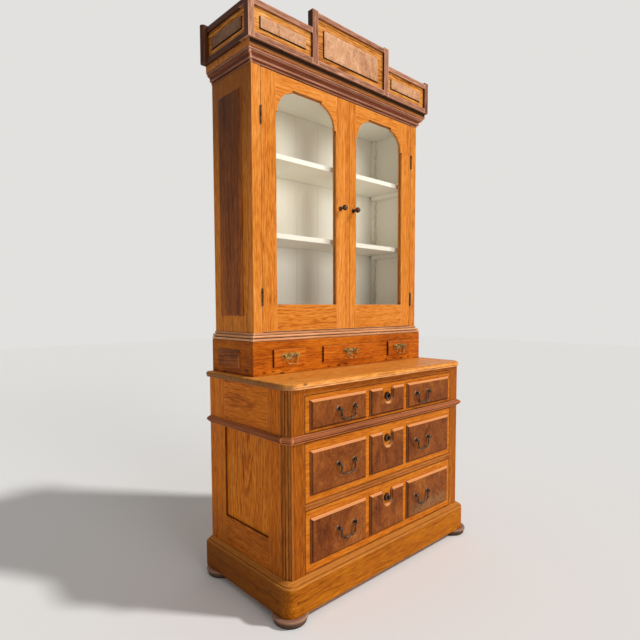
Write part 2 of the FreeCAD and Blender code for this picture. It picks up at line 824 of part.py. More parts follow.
def shelf_racks():
    front_rack, back_rack = rack_pair()
    front_root = shelf_front + rack_depth - rack_tooth
    back_root = inside_back - rack_depth + rack_tooth
    pieces = [front_rack, back_rack]
    for notch in shelf_notch_numbers:
        z = shelf_notch_z(notch)
        cleat = box(upper_inner - rack_width, upper_inner, front_root, back_root, z, z + cleat_height)
        cleat = cleat.cut(front_rack).cut(back_rack)
        ledge = box(upper_inner - cleat_width, upper_inner - rack_width, front_root, back_root,
                    z, z + cleat_height)
        pieces.append(cleat.fuse(ledge).removeSplitter())
    return both_sides(pieces)


def shelves():
    half = upper_inner - shelf_side_clearance
    notch_x = upper_inner - rack_width - shelf_side_clearance
    front_notch = shelf_front + rack_depth + shelf_side_clearance
    back_notch = inside_back - rack_depth - shelf_side_clearance
    outline = [(notch_x, shelf_front), (notch_x, front_notch), (half, front_notch), (half, back_notch),
               (notch_x, back_notch), (notch_x, inside_back), (-notch_x, inside_back),
               (-notch_x, back_notch), (-half, back_notch), (-half, front_notch),
               (-notch_x, front_notch), (-notch_x, shelf_front)]
    result = []
    for notch in shelf_notch_numbers:
        z = shelf_notch_z(notch) + cleat_height
        result.append(prism(outline, plan(z), V(0, 0, shelf_thickness)))
    return result


def cornice_moulding():
    return moulding_with_rear_rail(cornice_shape, cornice_projection, cornice_inner,
                                   upper_top_z, cornice_height)


def top_board():
    return [box(-top_board_half, top_board_half, top_board_front, case_depth, cornice_top_z, parapet_z)]


# ---------------------------------------------------------------- parapet

def parapet_frame():
    z = parapet_z
    front = parapet_front
    back = front + parapet_rail_thickness
    return_inner = parapet_half - parapet_rail_thickness
    post_back = front + parapet_end_post_width
    back_post_front = case_depth - back_post_depth
    side_rail_z = z + parapet_side_height - parapet_side_rail
    low_top = z + parapet_bottom_rail

    side_bottom = box(parapet_centre_outer, parapet_post_inner, front, back, z, low_top)
    side_top = box(parapet_centre_outer, parapet_post_inner, front, back,
                   side_rail_z, z + parapet_side_height)
    end_post = box(parapet_post_inner, parapet_half, front, post_back,
                   z, z + parapet_end_post_height)
    centre_post = box(parapet_centre_inner, parapet_centre_outer,
                      front, front + parapet_centre_post_depth, z, z + parapet_centre_post_height)
    return_bottom = box(return_inner, parapet_half, post_back, back_post_front, z, low_top)
    return_top = box(return_inner, parapet_half, post_back, back_post_front,
                     side_rail_z, z + parapet_side_height)
    nose = back_post_depth / 2
    outer = parapet_half + back_post_projection
    outline = [(return_inner, back_post_front), (outer - nose, back_post_front),
               ((outer, back_post_front + nose), (outer - nose, case_depth)),
               (return_inner, case_depth)]
    back_post = prism(outline, plan(z), V(0, 0, parapet_end_post_height))
    centre_bottom = box(-parapet_centre_inner, parapet_centre_inner, front, back, z, low_top)
    rail_top = z + parapet_centre_top
    centre_top = box(-parapet_centre_inner, parapet_centre_inner, front, back,
                     rail_top - parapet_centre_rail, rail_top)
    return [centre_bottom, centre_top] + both_sides(
        [side_bottom, side_top, end_post, centre_post, return_bottom, return_top, back_post])


def parapet_fields():
    z0 = parapet_z + parapet_bottom_rail
    side_z1 = parapet_z + parapet_side_height - parapet_side_rail
    centre_z1 = parapet_z + parapet_centre_top - parapet_centre_rail
    front = parapet_front + parapet_recess
    back = front + parapet_field_thickness
    centre = box(-parapet_centre_inner, parapet_centre_inner, front, back, z0, centre_z1)
    side = box(parapet_centre_outer, parapet_post_inner, front, back, z0, side_z1)
    outer = parapet_half - parapet_recess
    side_return = box(outer - parapet_field_thickness, outer, parapet_front + parapet_end_post_width,
                      case_depth - back_post_depth, z0, side_z1)
    return [centre] + both_sides([side, side_return])


def parapet_panels():
    z0 = parapet_z + parapet_panel_rise
    side_z1 = z0 + parapet_side_panel_height
    centre_z1 = z0 + parapet_centre_panel_height
    thickness = parapet_panel_thickness
    front = on_front(parapet_front + parapet_recess)
    centre_half = parapet_centre_inner - parapet_centre_margin
    centre = raised_panel(front, -centre_half, centre_half, z0, centre_z1, thickness)
    side = raised_panel(front, parapet_centre_outer + parapet_side_inner_margin,
                        parapet_post_inner - parapet_side_outer_margin, z0, side_z1, thickness)
    side_return = raised_panel(on_right_side(parapet_half - parapet_recess),
                               parapet_front + return_panel_front_margin,
                               case_depth - return_panel_back_margin, z0, side_z1, thickness)
    return [centre] + both_sides([side, side_return])


# ---------------------------------------------------------------- long drawers

def front_levels(drawer):
    return drawer.opening_z + drawer_gap, drawer.opening_z + drawer.opening_height - drawer_gap


def panel_levels(drawer):
    low, high = front_levels(drawer)
    return low + drawer.panel_below, high - drawer.panel_above


def drawer_front(drawer):
    low, high = front_levels(drawer)
    half = opening_half - drawer_gap
    return [box(-half, half, 0.0, drawer_front_thickness, low, high)]


def drawer_box(drawer):
    front, back = drawer_front_thickness, drawer_box_back
    low = drawer.opening_z + runner_clearance
    high = drawer.opening_z + drawer.opening_height - drawer_box_drop
    inner = drawer_box_half - drawer_side_thickness
    bottom_z = low + drawer_bottom_rise
    side = box(inner, drawer_box_half, front, back, low, high)
    rear = box(-inner, inner, back - drawer_side_thickness, back, low, high)
    bottom = box(-inner, inner, front, back - drawer_side_thickness,
                 bottom_z, bottom_z + drawer_bottom_thickness)
    return both_sides([side]) + [rear, bottom]


def drawer_panels(drawer):
    low, high = panel_levels(drawer)
    place = on_front(0.0)
    left, right = centre_panel_x - centre_panel_half, centre_panel_x + centre_panel_half
    return [raised_panel(place, left, right, low, high, notch=True),
            raised_panel(place, -side_panel_outer, left - panel_spacing, low, high),
            raised_panel(place, right + panel_spacing, side_panel_outer, low, high)]


def pull_post(x, side, z, face_y, standoff, head_radius, head_flat, stem_radius, pin_radius):
    """Post on a face, with a bail's pin in its round head, which is flat where it faces the bail.

    side is the post's side of the pull, -1 or +1.
    """
    head = V(x, face_y - standoff, z)
    bore = pin_radius + bail_pin_clearance
    far = 2 * head_radius
    post = Part.makeSphere(head_radius, head, V(1, 0, 0))
    flat_x = sorted((x - side * head_flat, x - side * far))
    post = post.cut(box(*flat_x, head.y - far, head.y + far, z - far, z + far))
    post = post.fuse(cylinder(stem_radius, standoff, V(x, face_y, z), V(0, -1, 0)))
    return post.cut(cylinder(bore, 2 * far, head - V(far, 0, 0), V(1, 0, 0)))


def bail(x, z, axis_y, spacing, drop, radius, pin_radius, corner, head_radius, head_flat):
    """Hanging bail: two pins turned outward into the post heads, two bars and a flat bottom."""
    bar = spacing / 2 - head_flat - bail_side_clearance - radius
    bottom = z - drop
    shoulder = corner * (1 - math.sqrt(0.5))
    top_left, top_right = V(x - bar, axis_y, z), V(x + bar, axis_y, z)
    low_left, low_right = V(x - bar, axis_y, bottom + corner), V(x + bar, axis_y, bottom + corner)
    foot_left, foot_right = V(x - bar + corner, axis_y, bottom), V(x + bar - corner, axis_y, bottom)
    path = Part.Wire([
        Part.makeLine(top_left, low_left),
        Part.Arc(low_left, V(x - bar + shoulder, axis_y, bottom + shoulder), foot_left).toShape(),
        Part.makeLine(foot_left, foot_right),
        Part.Arc(foot_right, V(x + bar - shoulder, axis_y, bottom + shoulder), low_right).toShape(),
        Part.makeLine(low_right, top_right)])
    section = Part.Wire(Part.makeCircle(radius, top_left, V(0, 0, -1)))
    rod = path.makePipeShell([section], True, False)
    pin_length = spacing / 2 - bar + head_radius * bail_pin_reach
    for side, top in ((-1, top_left), (1, top_right)):
        rod = rod.fuse(Part.makeSphere(radius, top))
        rod = rod.fuse(cylinder(pin_radius, pin_length, top, V(side, 0, 0)))
    return [rod.removeSplitter()]


def pull_z(drawer):
    return panel_levels(drawer)[0] + drawer.pull_rise


def drawer_fittings(drawer):
    z = pull_z(drawer)
    pieces = []
    for x in (pull_left_x, pull_right_x):
        for side in (-1, 1):
            post_x = x + side * pull_spacing / 2
            post = pull_post(post_x, side, z, panel_face, pull_standoff, pull_head_radius,
                             pull_head_flat, pull_stem_radius, bail_pin_radius)
            rose = [(0.0, 0.0), (pull_rose_radius, 0.0),
                    ((pull_rose_radius * 0.8, pull_rose_thickness * 0.8), (0.0, pull_rose_thickness))]
            pieces.append(post.fuse(turned(rose, V(post_x, panel_face, z), "forward")))
    key_x, key_z = centre_panel_x, panel_levels(drawer)[1] - drawer.key_drop
    barrel, rim = key_barrel_radius, key_barrel_radius - key_barrel_round
    rim_foot = key_barrel_length - key_barrel_round
    diagonal = key_barrel_round * math.sqrt(0.5)
    profile = [(0.0, 0.0), (escutcheon_radius, 0.0), (escutcheon_radius, escutcheon_thickness),
               (barrel, escutcheon_thickness), (barrel, rim_foot),
               ((rim + diagonal, rim_foot + diagonal), (rim, key_barrel_length)),
               (key_cup_radius, key_barrel_length), (key_cup_radius, key_cup_floor),
               (0.0, key_cup_floor)]
    escutcheon = turned(profile, V(key_x, 0, key_z), "forward")
    key_hole = cylinder(key_hole_radius, key_barrel_length, V(key_x, -key_hole_end, key_z), V(0, -1, 0))
    pieces.append(escutcheon.cut(key_hole))
    front_top = front_levels(drawer)[1]
    pieces.append(box(key_x - lock_width / 2, key_x + lock_width / 2, drawer_front_thickness,
                      drawer_front_thickness + lock_thickness, key_z - lock_reach, front_top))
    return pieces


def long_bail(drawer, x):
    return bail(x, pull_z(drawer), panel_face - pull_standoff, pull_spacing, pull_drop,
                bail_radius, bail_pin_radius, bail_corner_radius, pull_head_radius, pull_head_flat)


# ---------------------------------------------------------------- small drawers

small_lip_back = waist_front - small_lip_clearance
small_face = small_lip_back - small_lip_thickness
small_pull_z = (small_opening_z + small_opening_top) / 2 + small_pull_rise


def small_front(drawer):
    """Lipped front: the lip laps over the frame, the rest enters the opening."""
    lip = box(drawer.left, drawer.right, small_face, small_lip_back,
              small_opening_z - small_lip, small_opening_top + small_lip)
    rim = [edge for edge in lip.Edges if edge.BoundBox.YMax < small_face + 0.01]
    lip = lip.makeFillet(small_lip_round, rim)
    left, right = small_opening(drawer)
    plug = box(left + small_fit, right - small_fit, small_lip_back, waist_drawer_back,
               small_opening_z + small_fit, small_opening_top - small_fit)
    return [lip.fuse(plug)]


def small_box(drawer):
    left, right = small_opening(drawer)
    left, right = left + small_fit, right - small_fit
    front, back = waist_drawer_back, small_box_back
    low = small_opening_z + runner_clearance
    high = small_opening_top - small_box_drop
    wall = small_box_wall
    bottom_z = low + small_box_drop
    return [box(left, left + wall, front, back, low, high),
            box(right - wall, right, front, back, low, high),
            box(left + wall, right - wall, back - wall, back, low, high),
            box(left + wall, right - wall, front, back - wall, bottom_z, bottom_z + small_box_bottom)]


def pull_plate(drawer):
    """Pierced bat-wing plate with the two posts of its bail."""
    x, z = (drawer.left + drawer.right) / 2, small_pull_z
    half, rise, drop = plate_half_width, plate_rise, plate_drop
    right_edge = [(0.0, rise), (half * 0.13, rise * 0.72), (half * 0.27, rise * 0.42),
                  (half * 0.44, rise * 0.66), (half * 0.62, rise * 0.52), (half * 0.82, rise * 0.62),
                  (half * 0.98, rise * 0.22), (half * 0.97, -rise * 0.30), (half * 0.78, -rise * 0.62),
                  (half * 0.56, -rise * 0.38), (half * 0.40, -drop * 0.38), (half * 0.24, -drop * 0.62),
                  (half * 0.12, -drop * 0.70)]
    outline = right_edge + [(0.0, -drop)] + [(-u, w) for u, w in right_edge[:0:-1]]
    curve = Part.BSplineCurve()
    curve.interpolate(Points=[V(x + u, small_face, z + w) for u, w in outline], PeriodicFlag=True)
    plate = Part.Face(Part.Wire(curve.toShape())).extrude(V(0, -plate_thickness, 0))
    holes = [(0.0, rise * 0.42, plate_small_hole), (half * 0.32, 0.0, plate_large_hole),
             (half * 0.17, -rise * 0.42, plate_middle_hole), (0.0, -drop * 0.58, plate_middle_hole),
             (half * 0.89, 0.0, plate_small_hole)]
    for u, w, radius in holes:
        for side in (-1, 1):
            start = V(x + side * u, small_face + plate_thickness, z + w)
            plate = plate.cut(cylinder(radius, 3 * plate_thickness, start, V(0, -1, 0)))
    face = small_face - plate_thickness
    posts = [pull_post(x + side * small_pull_spacing / 2, side, z, face, small_standoff,
                       small_head_radius, small_head_flat, small_stem_radius, small_bail_pin_radius)
             for side in (-1, 1)]
    return [plate] + posts


def small_bail(drawer):
    return bail((drawer.left + drawer.right) / 2, small_pull_z,
                small_face - plate_thickness - small_standoff, small_pull_spacing, small_pull_drop,
                small_bail_radius, small_bail_pin_radius, small_bail_corner_radius,
                small_head_radius, small_head_flat)


# ---------------------------------------------------------------- doors, modelled on the right

def hinge_centres():
    return [door_z + bottom_hinge_rise, door_top_z - top_hinge_drop]


def case_hinge_leaves():
    """Leaves let into the inner edge of the right face stile."""
    half = hinge_length / 2
    return [box(hinge_x, hinge_x + hinge_leaf_thickness, upper_front, upper_front + hinge_leaf_width,
                z - half, z + half) for z in hinge_centres()]


def door_hinge_leaves():
    """Leaves let into the hinge edge of the right door."""
    half = hinge_length / 2
    edge = door_hinge_edge
    return [box(edge - hinge_leaf_thickness, edge, upper_front, upper_front + hinge_leaf_width,
                z - half, z + half) for z in hinge_centres()]


def knuckle(z0, z1, web_from, web_to):
    """One knuckle with the web that joins it to its leaf, bored for the pin."""
    barrel = cylinder(knuckle_radius, z1 - z0, V(hinge_x, hinge_y, z0), V(0, 0, 1))
    web = box(web_from, web_to, hinge_y, upper_front, z0, z1)
    bore = cylinder(hinge_pin_radius + hinge_pin_clearance, z1 - z0, V(hinge_x, hinge_y, z0), V(0, 0, 1))
    return barrel.fuse(web).cut(bore)


def knuckle_thirds(z):
    third = hinge_length / 3
    low = z - hinge_length / 2
    return [(low, low + third), (low + third, low + 2 * third), (low + 2 * third, low + 3 * third)]


def case_hinges():
    pieces = []
    for z, leaf in zip(hinge_centres(), case_hinge_leaves()):
        lower, _, upper = knuckle_thirds(z)
        plate = leaf
        for z0, z1 in ((lower[0], lower[1] - knuckle_clearance), (upper[0] + knuckle_clearance, upper[1])):
            plate = plate.fuse(knuckle(z0, z1, hinge_x, hinge_x + hinge_leaf_thickness))
        pin = cylinder(hinge_pin_radius, hinge_length, V(hinge_x, hinge_y, lower[0]), V(0, 0, 1))
        caps = [Part.makeSphere(knuckle_radius, V(hinge_x, hinge_y, end))
                for end in (lower[0], upper[1])]
        middle = box(hinge_x - 2 * knuckle_radius, hinge_x + 2 * knuckle_radius,
                     hinge_y - 2 * knuckle_radius, hinge_y + 2 * knuckle_radius, lower[0], upper[1])
        for cap in caps:
            pin = pin.fuse(cap.cut(middle))
        pieces += [plate.removeSplitter(), pin.removeSplitter()]
    return both_sides(pieces)


def door_frame(meeting_edge, strip_edge):
    """Door built on the right; strip_edge is None, or where a closing strip glued to the edge ends."""
    front, back, lip = upper_front, door_back, upper_front + door_lip
    inner, outer = door_opening_inner, door_opening_outer
    spring_z = door_flat_z - door_spring_drop
    rebate_top = door_flat_z + rebate_width
    rebate_z = door_opening_z - rebate_width
    rebate = box(inner - rebate_width, outer + rebate_width, lip, 2 * back, rebate_z, rebate_top)

    hinge_stile = box(outer, door_hinge_edge, front, back, door_z, door_top_z).cut(rebate)
    for leaf in door_hinge_leaves():
        hinge_stile = hinge_stile.cut(leaf)
    meeting_stile = box(meeting_edge, inner, front, back, door_z, door_top_z).cut(rebate)
    bottom_rail = box(inner, outer, front, back, door_z, door_opening_z).cut(rebate)

    centre = (inner + outer) / 2
    foot = (outer - inner) / 2 - door_arch_step
    flat = foot - door_arch_width
    arc_x = foot - door_arch_radius
    arc_end = math.sqrt(door_arch_radius ** 2 - (flat - arc_x) ** 2)
    middle_angle = math.acos((flat - arc_x) / door_arch_radius) / 2
    middle_x = arc_x + door_arch_radius * math.cos(middle_angle)
    middle_z = spring_z + door_arch_radius * math.sin(middle_angle)
    head = [(inner, rebate_top), (inner, spring_z), (centre - foot, spring_z),
            ((centre - middle_x, middle_z), (centre - flat, spring_z + arc_end)),
            (centre - flat, door_flat_z), (centre + flat, door_flat_z),
            (centre + flat, spring_z + arc_end),
            ((centre + middle_x, middle_z), (centre + foot, spring_z)),
            (outer, spring_z), (outer, rebate_top)]
    apron = prism(head, lambda x, z: V(x, front, z), V(0, door_lip, 0))
    top_rail = box(inner, outer, front, back, rebate_top, door_top_z).fuse(apron).removeSplitter()

    bead_front = lip + glass_thickness
    beads = [box(outer, outer + rebate_width, bead_front, back, rebate_z, rebate_top),
             box(inner - rebate_width, inner, bead_front, back, rebate_z, rebate_top),
             box(inner, outer, bead_front, back, rebate_z, door_opening_z),
             box(inner, outer, bead_front, back, door_flat_z, rebate_top)]
    pieces = [hinge_stile, meeting_stile, bottom_rail, top_rail] + beads
    if strip_edge is not None:
        pieces.append(box(strip_edge, meeting_edge, front, back, door_z, door_top_z))
    return pieces


def door_glass():
    inner = door_opening_inner - rebate_width + glass_clearance
    outer = door_opening_outer + rebate_width - glass_clearance
    lip = upper_front + door_lip
    return [box(inner, outer, lip, lip + glass_thickness, door_opening_z - rebate_width + glass_clearance,
                door_flat_z + rebate_width - glass_clearance)]


def door_metalwork(knob_x):
    pieces = []
    edge = door_hinge_edge
    for z, leaf in zip(hinge_centres(), door_hinge_leaves()):
        low, high = knuckle_thirds(z)[1]
        pieces.append(leaf.fuse(knuckle(low, high, edge - hinge_leaf_thickness, edge)).removeSplitter())
    neck, ball = knob_neck_radius, knob_radius
    ball_centre = knob_reach - ball
    ball_foot = ball_centre - math.sqrt(ball ** 2 - neck ** 2)
    rose, flat = knob_rose_radius, knob_rose_radius - knob_rose_round
    turn = math.sqrt(0.5)
    profile = [(0.0, 0.0), (rose, 0.0), (rose, knob_rose_edge),
               ((flat + knob_rose_round * turn,
                 knob_rose_edge + (knob_rose_thickness - knob_rose_edge) * turn),
                (flat, knob_rose_thickness)),
               (neck + knob_neck_flare, (knob_rose_thickness + knob_neck_start) / 2),
               (neck, knob_neck_start), (neck, ball_foot),
               ((ball, ball_centre), (0.0, knob_reach))]
    pieces.append(turned(profile, V(knob_x, upper_front, door_z + knob_rise), "forward"))
    return pieces


# ---------------------------------------------------------------- all nodes

os.makedirs("parts", exist_ok=True)

for make in (plinth, bun_feet, front_posts, corner_reeds, side_frames, side_panels, lower_back,
             drawer_rails, drawer_runners, band_moulding, countertop, waist_case, waist_moulding,
             applied_side_panels, upper_case, upper_back, shelf_racks, shelves, cornice_moulding,
             top_board, parapet_frame, parapet_fields, parapet_panels, case_hinges):
    save(make.__name__, make())

for drawer in long_drawers:
    save(drawer.name + "_drawer_front", drawer_front(drawer))
    save(drawer.name + "_drawer_box", drawer_box(drawer))
    save(drawer.name + "_drawer_panels", drawer_panels(drawer))
    save(drawer.name + "_drawer_fittings", drawer_fittings(drawer))
    save(drawer.name + "_left_bail", long_bail(drawer, pull_left_x))
    save(drawer.name + "_right_bail", long_bail(drawer, pull_right_x))

for drawer in small_drawers:
    save("small_" + drawer.name + "_drawer_front", small_front(drawer))
    save("small_" + drawer.name + "_drawer_box", small_box(drawer))
    save("small_" + drawer.name + "_pull_plate", pull_plate(drawer))
    save("small_" + drawer.name + "_bail", small_bail(drawer))

right_edge = meeting_line + meeting_gap / 2
strip_end = -(meeting_line - meeting_gap / 2)
save("right_door_frame", door_frame(right_edge, None))
save("right_door_glass", door_glass())
save("right_door_metalwork", door_metalwork(knob_right_x))
save("left_door_frame", [mirrored(piece) for piece in door_frame(strip_end + closing_strip, strip_end)])
save("left_door_glass", [mirrored(piece) for piece in door_glass()])
save("left_door_metalwork", [mirrored(piece) for piece in door_metalwork(-knob_left_x)])
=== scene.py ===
import math
import random
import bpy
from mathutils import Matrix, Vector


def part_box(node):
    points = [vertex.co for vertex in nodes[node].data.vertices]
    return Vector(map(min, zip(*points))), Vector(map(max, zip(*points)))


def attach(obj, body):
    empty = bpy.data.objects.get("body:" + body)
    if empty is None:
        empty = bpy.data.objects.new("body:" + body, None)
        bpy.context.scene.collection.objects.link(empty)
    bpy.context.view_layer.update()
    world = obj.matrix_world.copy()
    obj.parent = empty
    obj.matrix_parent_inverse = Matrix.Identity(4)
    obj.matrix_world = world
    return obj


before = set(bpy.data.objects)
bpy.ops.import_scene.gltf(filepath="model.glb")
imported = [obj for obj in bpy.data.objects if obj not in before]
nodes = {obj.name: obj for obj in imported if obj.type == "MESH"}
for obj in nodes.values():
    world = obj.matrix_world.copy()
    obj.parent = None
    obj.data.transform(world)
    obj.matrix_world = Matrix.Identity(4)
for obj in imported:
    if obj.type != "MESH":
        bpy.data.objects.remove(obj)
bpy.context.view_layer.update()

from types import SimpleNamespace

import bmesh
import bpy
from mathutils import Euler, Matrix, Vector

random.seed(7)

# ---------------------------------------------------------------- camera

FOCAL_PIXELS = 497.17          # focal length in pixels of the 640-pixel frame
FRAME_PIXELS = 640
SENSOR_MM = 36.0
CENTRE_ROW = 338.33            # the row that the level line of sight meets
CAMERA_PLACE = Vector((-1.5934, -1.5440, 1.1083))
CAMERA_YAW = math.radians(42.873)      # to the right of +Y
CAMERA_PITCH = math.radians(-3.590)
CAMERA_ROLL = math.radians(-0.179)


def add_camera():
    ahead = Vector((math.sin(CAMERA_YAW) * math.cos(CAMERA_PITCH),
                    math.cos(CAMERA_YAW) * math.cos(CAMERA_PITCH),
                    math.sin(CAMERA_PITCH)))
    level = Vector((math.cos(CAMERA_YAW), -math.sin(CAMERA_YAW), 0.0))
    over = level.cross(ahead)
    right = level * math.cos(CAMERA_ROLL) + over * math.sin(CAMERA_ROLL)
    up = over * math.cos(CAMERA_ROLL) - level * math.sin(CAMERA_ROLL)
    data = bpy.data.cameras.new("camera")
    data.sensor_width = SENSOR_MM
    data.lens = FOCAL_PIXELS / FRAME_PIXELS * SENSOR_MM
    data.shift_y = (CENTRE_ROW - FRAME_PIXELS / 2) / FRAME_PIXELS
    camera = bpy.data.objects.new("camera", data)
    turned = Matrix((right, up, -ahead)).transposed().to_4x4()
    camera.matrix_world = Matrix.Translation(CAMERA_PLACE) @ turned
    bpy.context.scene.collection.objects.link(camera)
    bpy.context.scene.camera = camera


# ---------------------------------------------------------------- node helper

SHADE_SAMPLES, BEVEL_SAMPLES = 6, 4
MIDDLE = (0.5, 0.5, 0.5)        # the middle of a coloured noise


def srgb(red, green, blue):
    """Display values of 0 to 255 as the linear colour that a node takes."""
    def linear(value):
        share = value / 255
        return share / 12.92 if share <= 0.04045 else ((share + 0.055) / 1.055) ** 2.4
    return (linear(red), linear(green), linear(blue), 1.0)


def shades(*colours):
    """Display values as the tones of a wood, from dark to light."""
    return tuple(srgb(*colour) for colour in colours)


class Tree:
    """One material's nodes. add makes a node, set gives a socket its value or link, and shaded returns the
    material. Each other method adds nodes and returns the socket or sockets with their result."""

    def __init__(self, name):
        self.material = bpy.data.materials.new(name)
        self.material.use_nodes = True
        self.tree = self.material.node_tree
        self.shader = self.tree.nodes["Principled BSDF"]
        self.out = self.tree.nodes["Material Output"]

    def add(self, kind, inputs, **settings):
        node = self.tree.nodes.new(kind)
        for name, value in settings.items():
            setattr(node, name, value)
        for slot, value in inputs.items():
            self.set(node.inputs[slot], value)
        return node

    def set(self, socket, value):
        if isinstance(value, bpy.types.NodeSocket):
            self.tree.links.new(value, socket)
        else:
            socket.default_value = value

    def shaded(self, inputs):
        for name, value in inputs.items():
            self.set(self.shader.inputs[name], value)
        return self.material

    def math(self, operation, first, second=0.0, clamp=False):
        node = self.add("ShaderNodeMath", {0: first, 1: second}, operation=operation, use_clamp=clamp)
        return node.outputs[0]

    def times(self, first, second):
        return self.math("MULTIPLY", first, second)

    def vector(self, operation, first, second=(0.0, 0.0, 0.0)):
        node = self.add("ShaderNodeVectorMath", {0: first, 1: second}, operation=operation)
        return node.outputs["Value" if operation == "LENGTH" else "Vector"]

    def parts(self, vector):
        """The x, y and z of a vector."""
        return self.add("ShaderNodeSeparateXYZ", {0: vector}).outputs

    def attribute(self, name, output):
        return self.add("ShaderNodeAttribute", {}, attribute_name=name).outputs[output]

    def place(self):
        return self.add("ShaderNodeTexCoord", {}).outputs["Object"]

    def facing(self):
        """The x, y and z of the direction that a face looks in."""
        return self.parts(self.add("ShaderNodeNewGeometry", {}).outputs["True Normal"])

    def noise(self, vector, scale=1.0, detail=2.0, roughness=0.5, distortion=0.0, output="Fac"):
        values = {"Vector": vector, "Scale": scale, "Detail": detail, "Roughness": roughness,
                  "Distortion": distortion}
        return self.add("ShaderNodeTexNoise", values).outputs[output]

    def stretched(self, vector, rates, **values):
        """Noise that changes at its own rate along each axis."""
        return self.noise(self.vector("MULTIPLY", vector, rates), **values)

    def shift(self, vector, reach, **values):
        """A small random vector that changes with the place: reach is its size along each axis."""
        colour = self.noise(vector, output="Color", **values)
        return self.vector("MULTIPLY", self.vector("SUBTRACT", colour, MIDDLE), reach)

    def summed(self, parts):
        """0.5 plus, for each (amount, noise), the amount times what the noise lies above 0.5."""
        total = 0.5
        for amount, part in parts:
            total = self.math("ADD", total, self.times(self.math("SUBTRACT", part, 0.5), amount))
        return total

    def span(self, value, low, high, to_low=0.0, to_high=1.0):
        """value taken from low..high to to_low..to_high by a smooth step, held at the ends."""
        values = {"Value": value, "From Min": low, "From Max": high, "To Min": to_low, "To Max": to_high}
        return self.add("ShaderNodeMapRange", values, interpolation_type="SMOOTHSTEP").outputs[0]

    def ramp(self, factor, *stops):
        node = self.add("ShaderNodeValToRGB", {0: factor})
        elements = node.color_ramp.elements
        while len(elements) < len(stops):
            elements.new(1.0)
        for element, (position, colour) in zip(elements, stops):
            element.position = position
            element.color = colour
        return node.outputs[0]

    def toned(self, tone, tones, low, high=0.86):
        """The tones from dark to light, at even steps from low to high of the value tone."""
        step = (high - low) / (len(tones) - 1)
        return self.ramp(tone, *[(low + step * count, shade) for count, shade in enumerate(tones)])

    def mix(self, factor, first, second):
        return self.add("ShaderNodeMix", {0: factor, 6: first, 7: second}, data_type="RGBA").outputs[2]

    def tinted(self, colour, other, share, strength):
        """colour turned to other by share times strength."""
        return self.mix(self.times(share, strength), colour, other)

    def bump(self, height, strength, distance, normal=None):
        values = {"Height": height, "Strength": strength, "Distance": distance}
        if normal is not None:
            values["Normal"] = normal
        return self.add("ShaderNodeBump", values).outputs[0]

    def gaps(self, reach):
        """1 deep in a gap or an inner corner, 0 on open surfaces."""
        shade = self.add("ShaderNodeAmbientOcclusion", {"Distance": reach}, samples=SHADE_SAMPLES)
        return self.span(shade.outputs["AO"], 0.7, 0.15)

    def edges(self, reach, low=0.12, high=0.55):
        """1 on outer edges, 0 on flat surfaces."""
        shade = self.add("ShaderNodeAmbientOcclusion", {"Distance": reach}, samples=SHADE_SAMPLES,
                         inside=True)
        return self.span(self.math("SUBTRACT", 1.0, shade.outputs["AO"]), low, high)

    def worn_edge(self, radius):
        return self.add("ShaderNodeBevel", {"Radius": radius}, samples=BEVEL_SAMPLES).outputs[0]


# ---------------------------------------------------------------- boards and their grain

ALONG_X, ALONG_Y, ALONG_Z = 0, 1, 2
LAY_ALONG = {ALONG_X: (0.0, 0.0, 0.0),                     # turns that bring a board's length to X
             ALONG_Y: (0.0, 0.0, -math.pi / 2),
             ALONG_Z: (0.0, math.pi / 2, 0.0)}
PITH_NEAR, PITH_FAR = 0.05, 0.22                           # from a board's middle to the heart of its tree
TREE_LENGTH = 9.0
GRAIN_TILT = math.radians(1.6)
FLAT_SAWN_HEART = 0.045                                    # from a flat-sawn board's face to the heart
FLAT_SAWN_TILT = math.radians(2.6)
MICRONS = 1e6                                              # in a metre


def solid_ends(mesh):
    """The vertex count at the end of each solid of a CAD mesh. There, every edge met so far has been met an
    even number of times."""
    places = [tuple(round(value * MICRONS) for value in vertex.co) for vertex in mesh.vertices]
    unpaired, ends, last = set(), [], 0
    for face in mesh.polygons:
        corners = list(face.vertices)
        last = max(last, max(corners) + 1)
        for one, other in zip(corners, corners[1:] + corners[:1]):
            edge = frozenset((places[one], places[other]))
            if len(edge) == 2:
                unpaired ^= {edge}
        if not unpaired:
            ends.append(last)
    return ends or [len(mesh.vertices)]


def solids(mesh):
    """Each solid of a CAD mesh as (low corner, high corner, the vertex count at its end)."""
    found, start = [], 0
    for end in solid_ends(mesh):
        corners = [vertex.co for vertex in mesh.vertices[start:end]]
        low = Vector(min(corner[axis] for corner in corners) for axis in range(3))
        high = Vector(max(corner[axis] for corner in corners) for axis in range(3))
        found.append((low, high, end))
        start = end
    return found


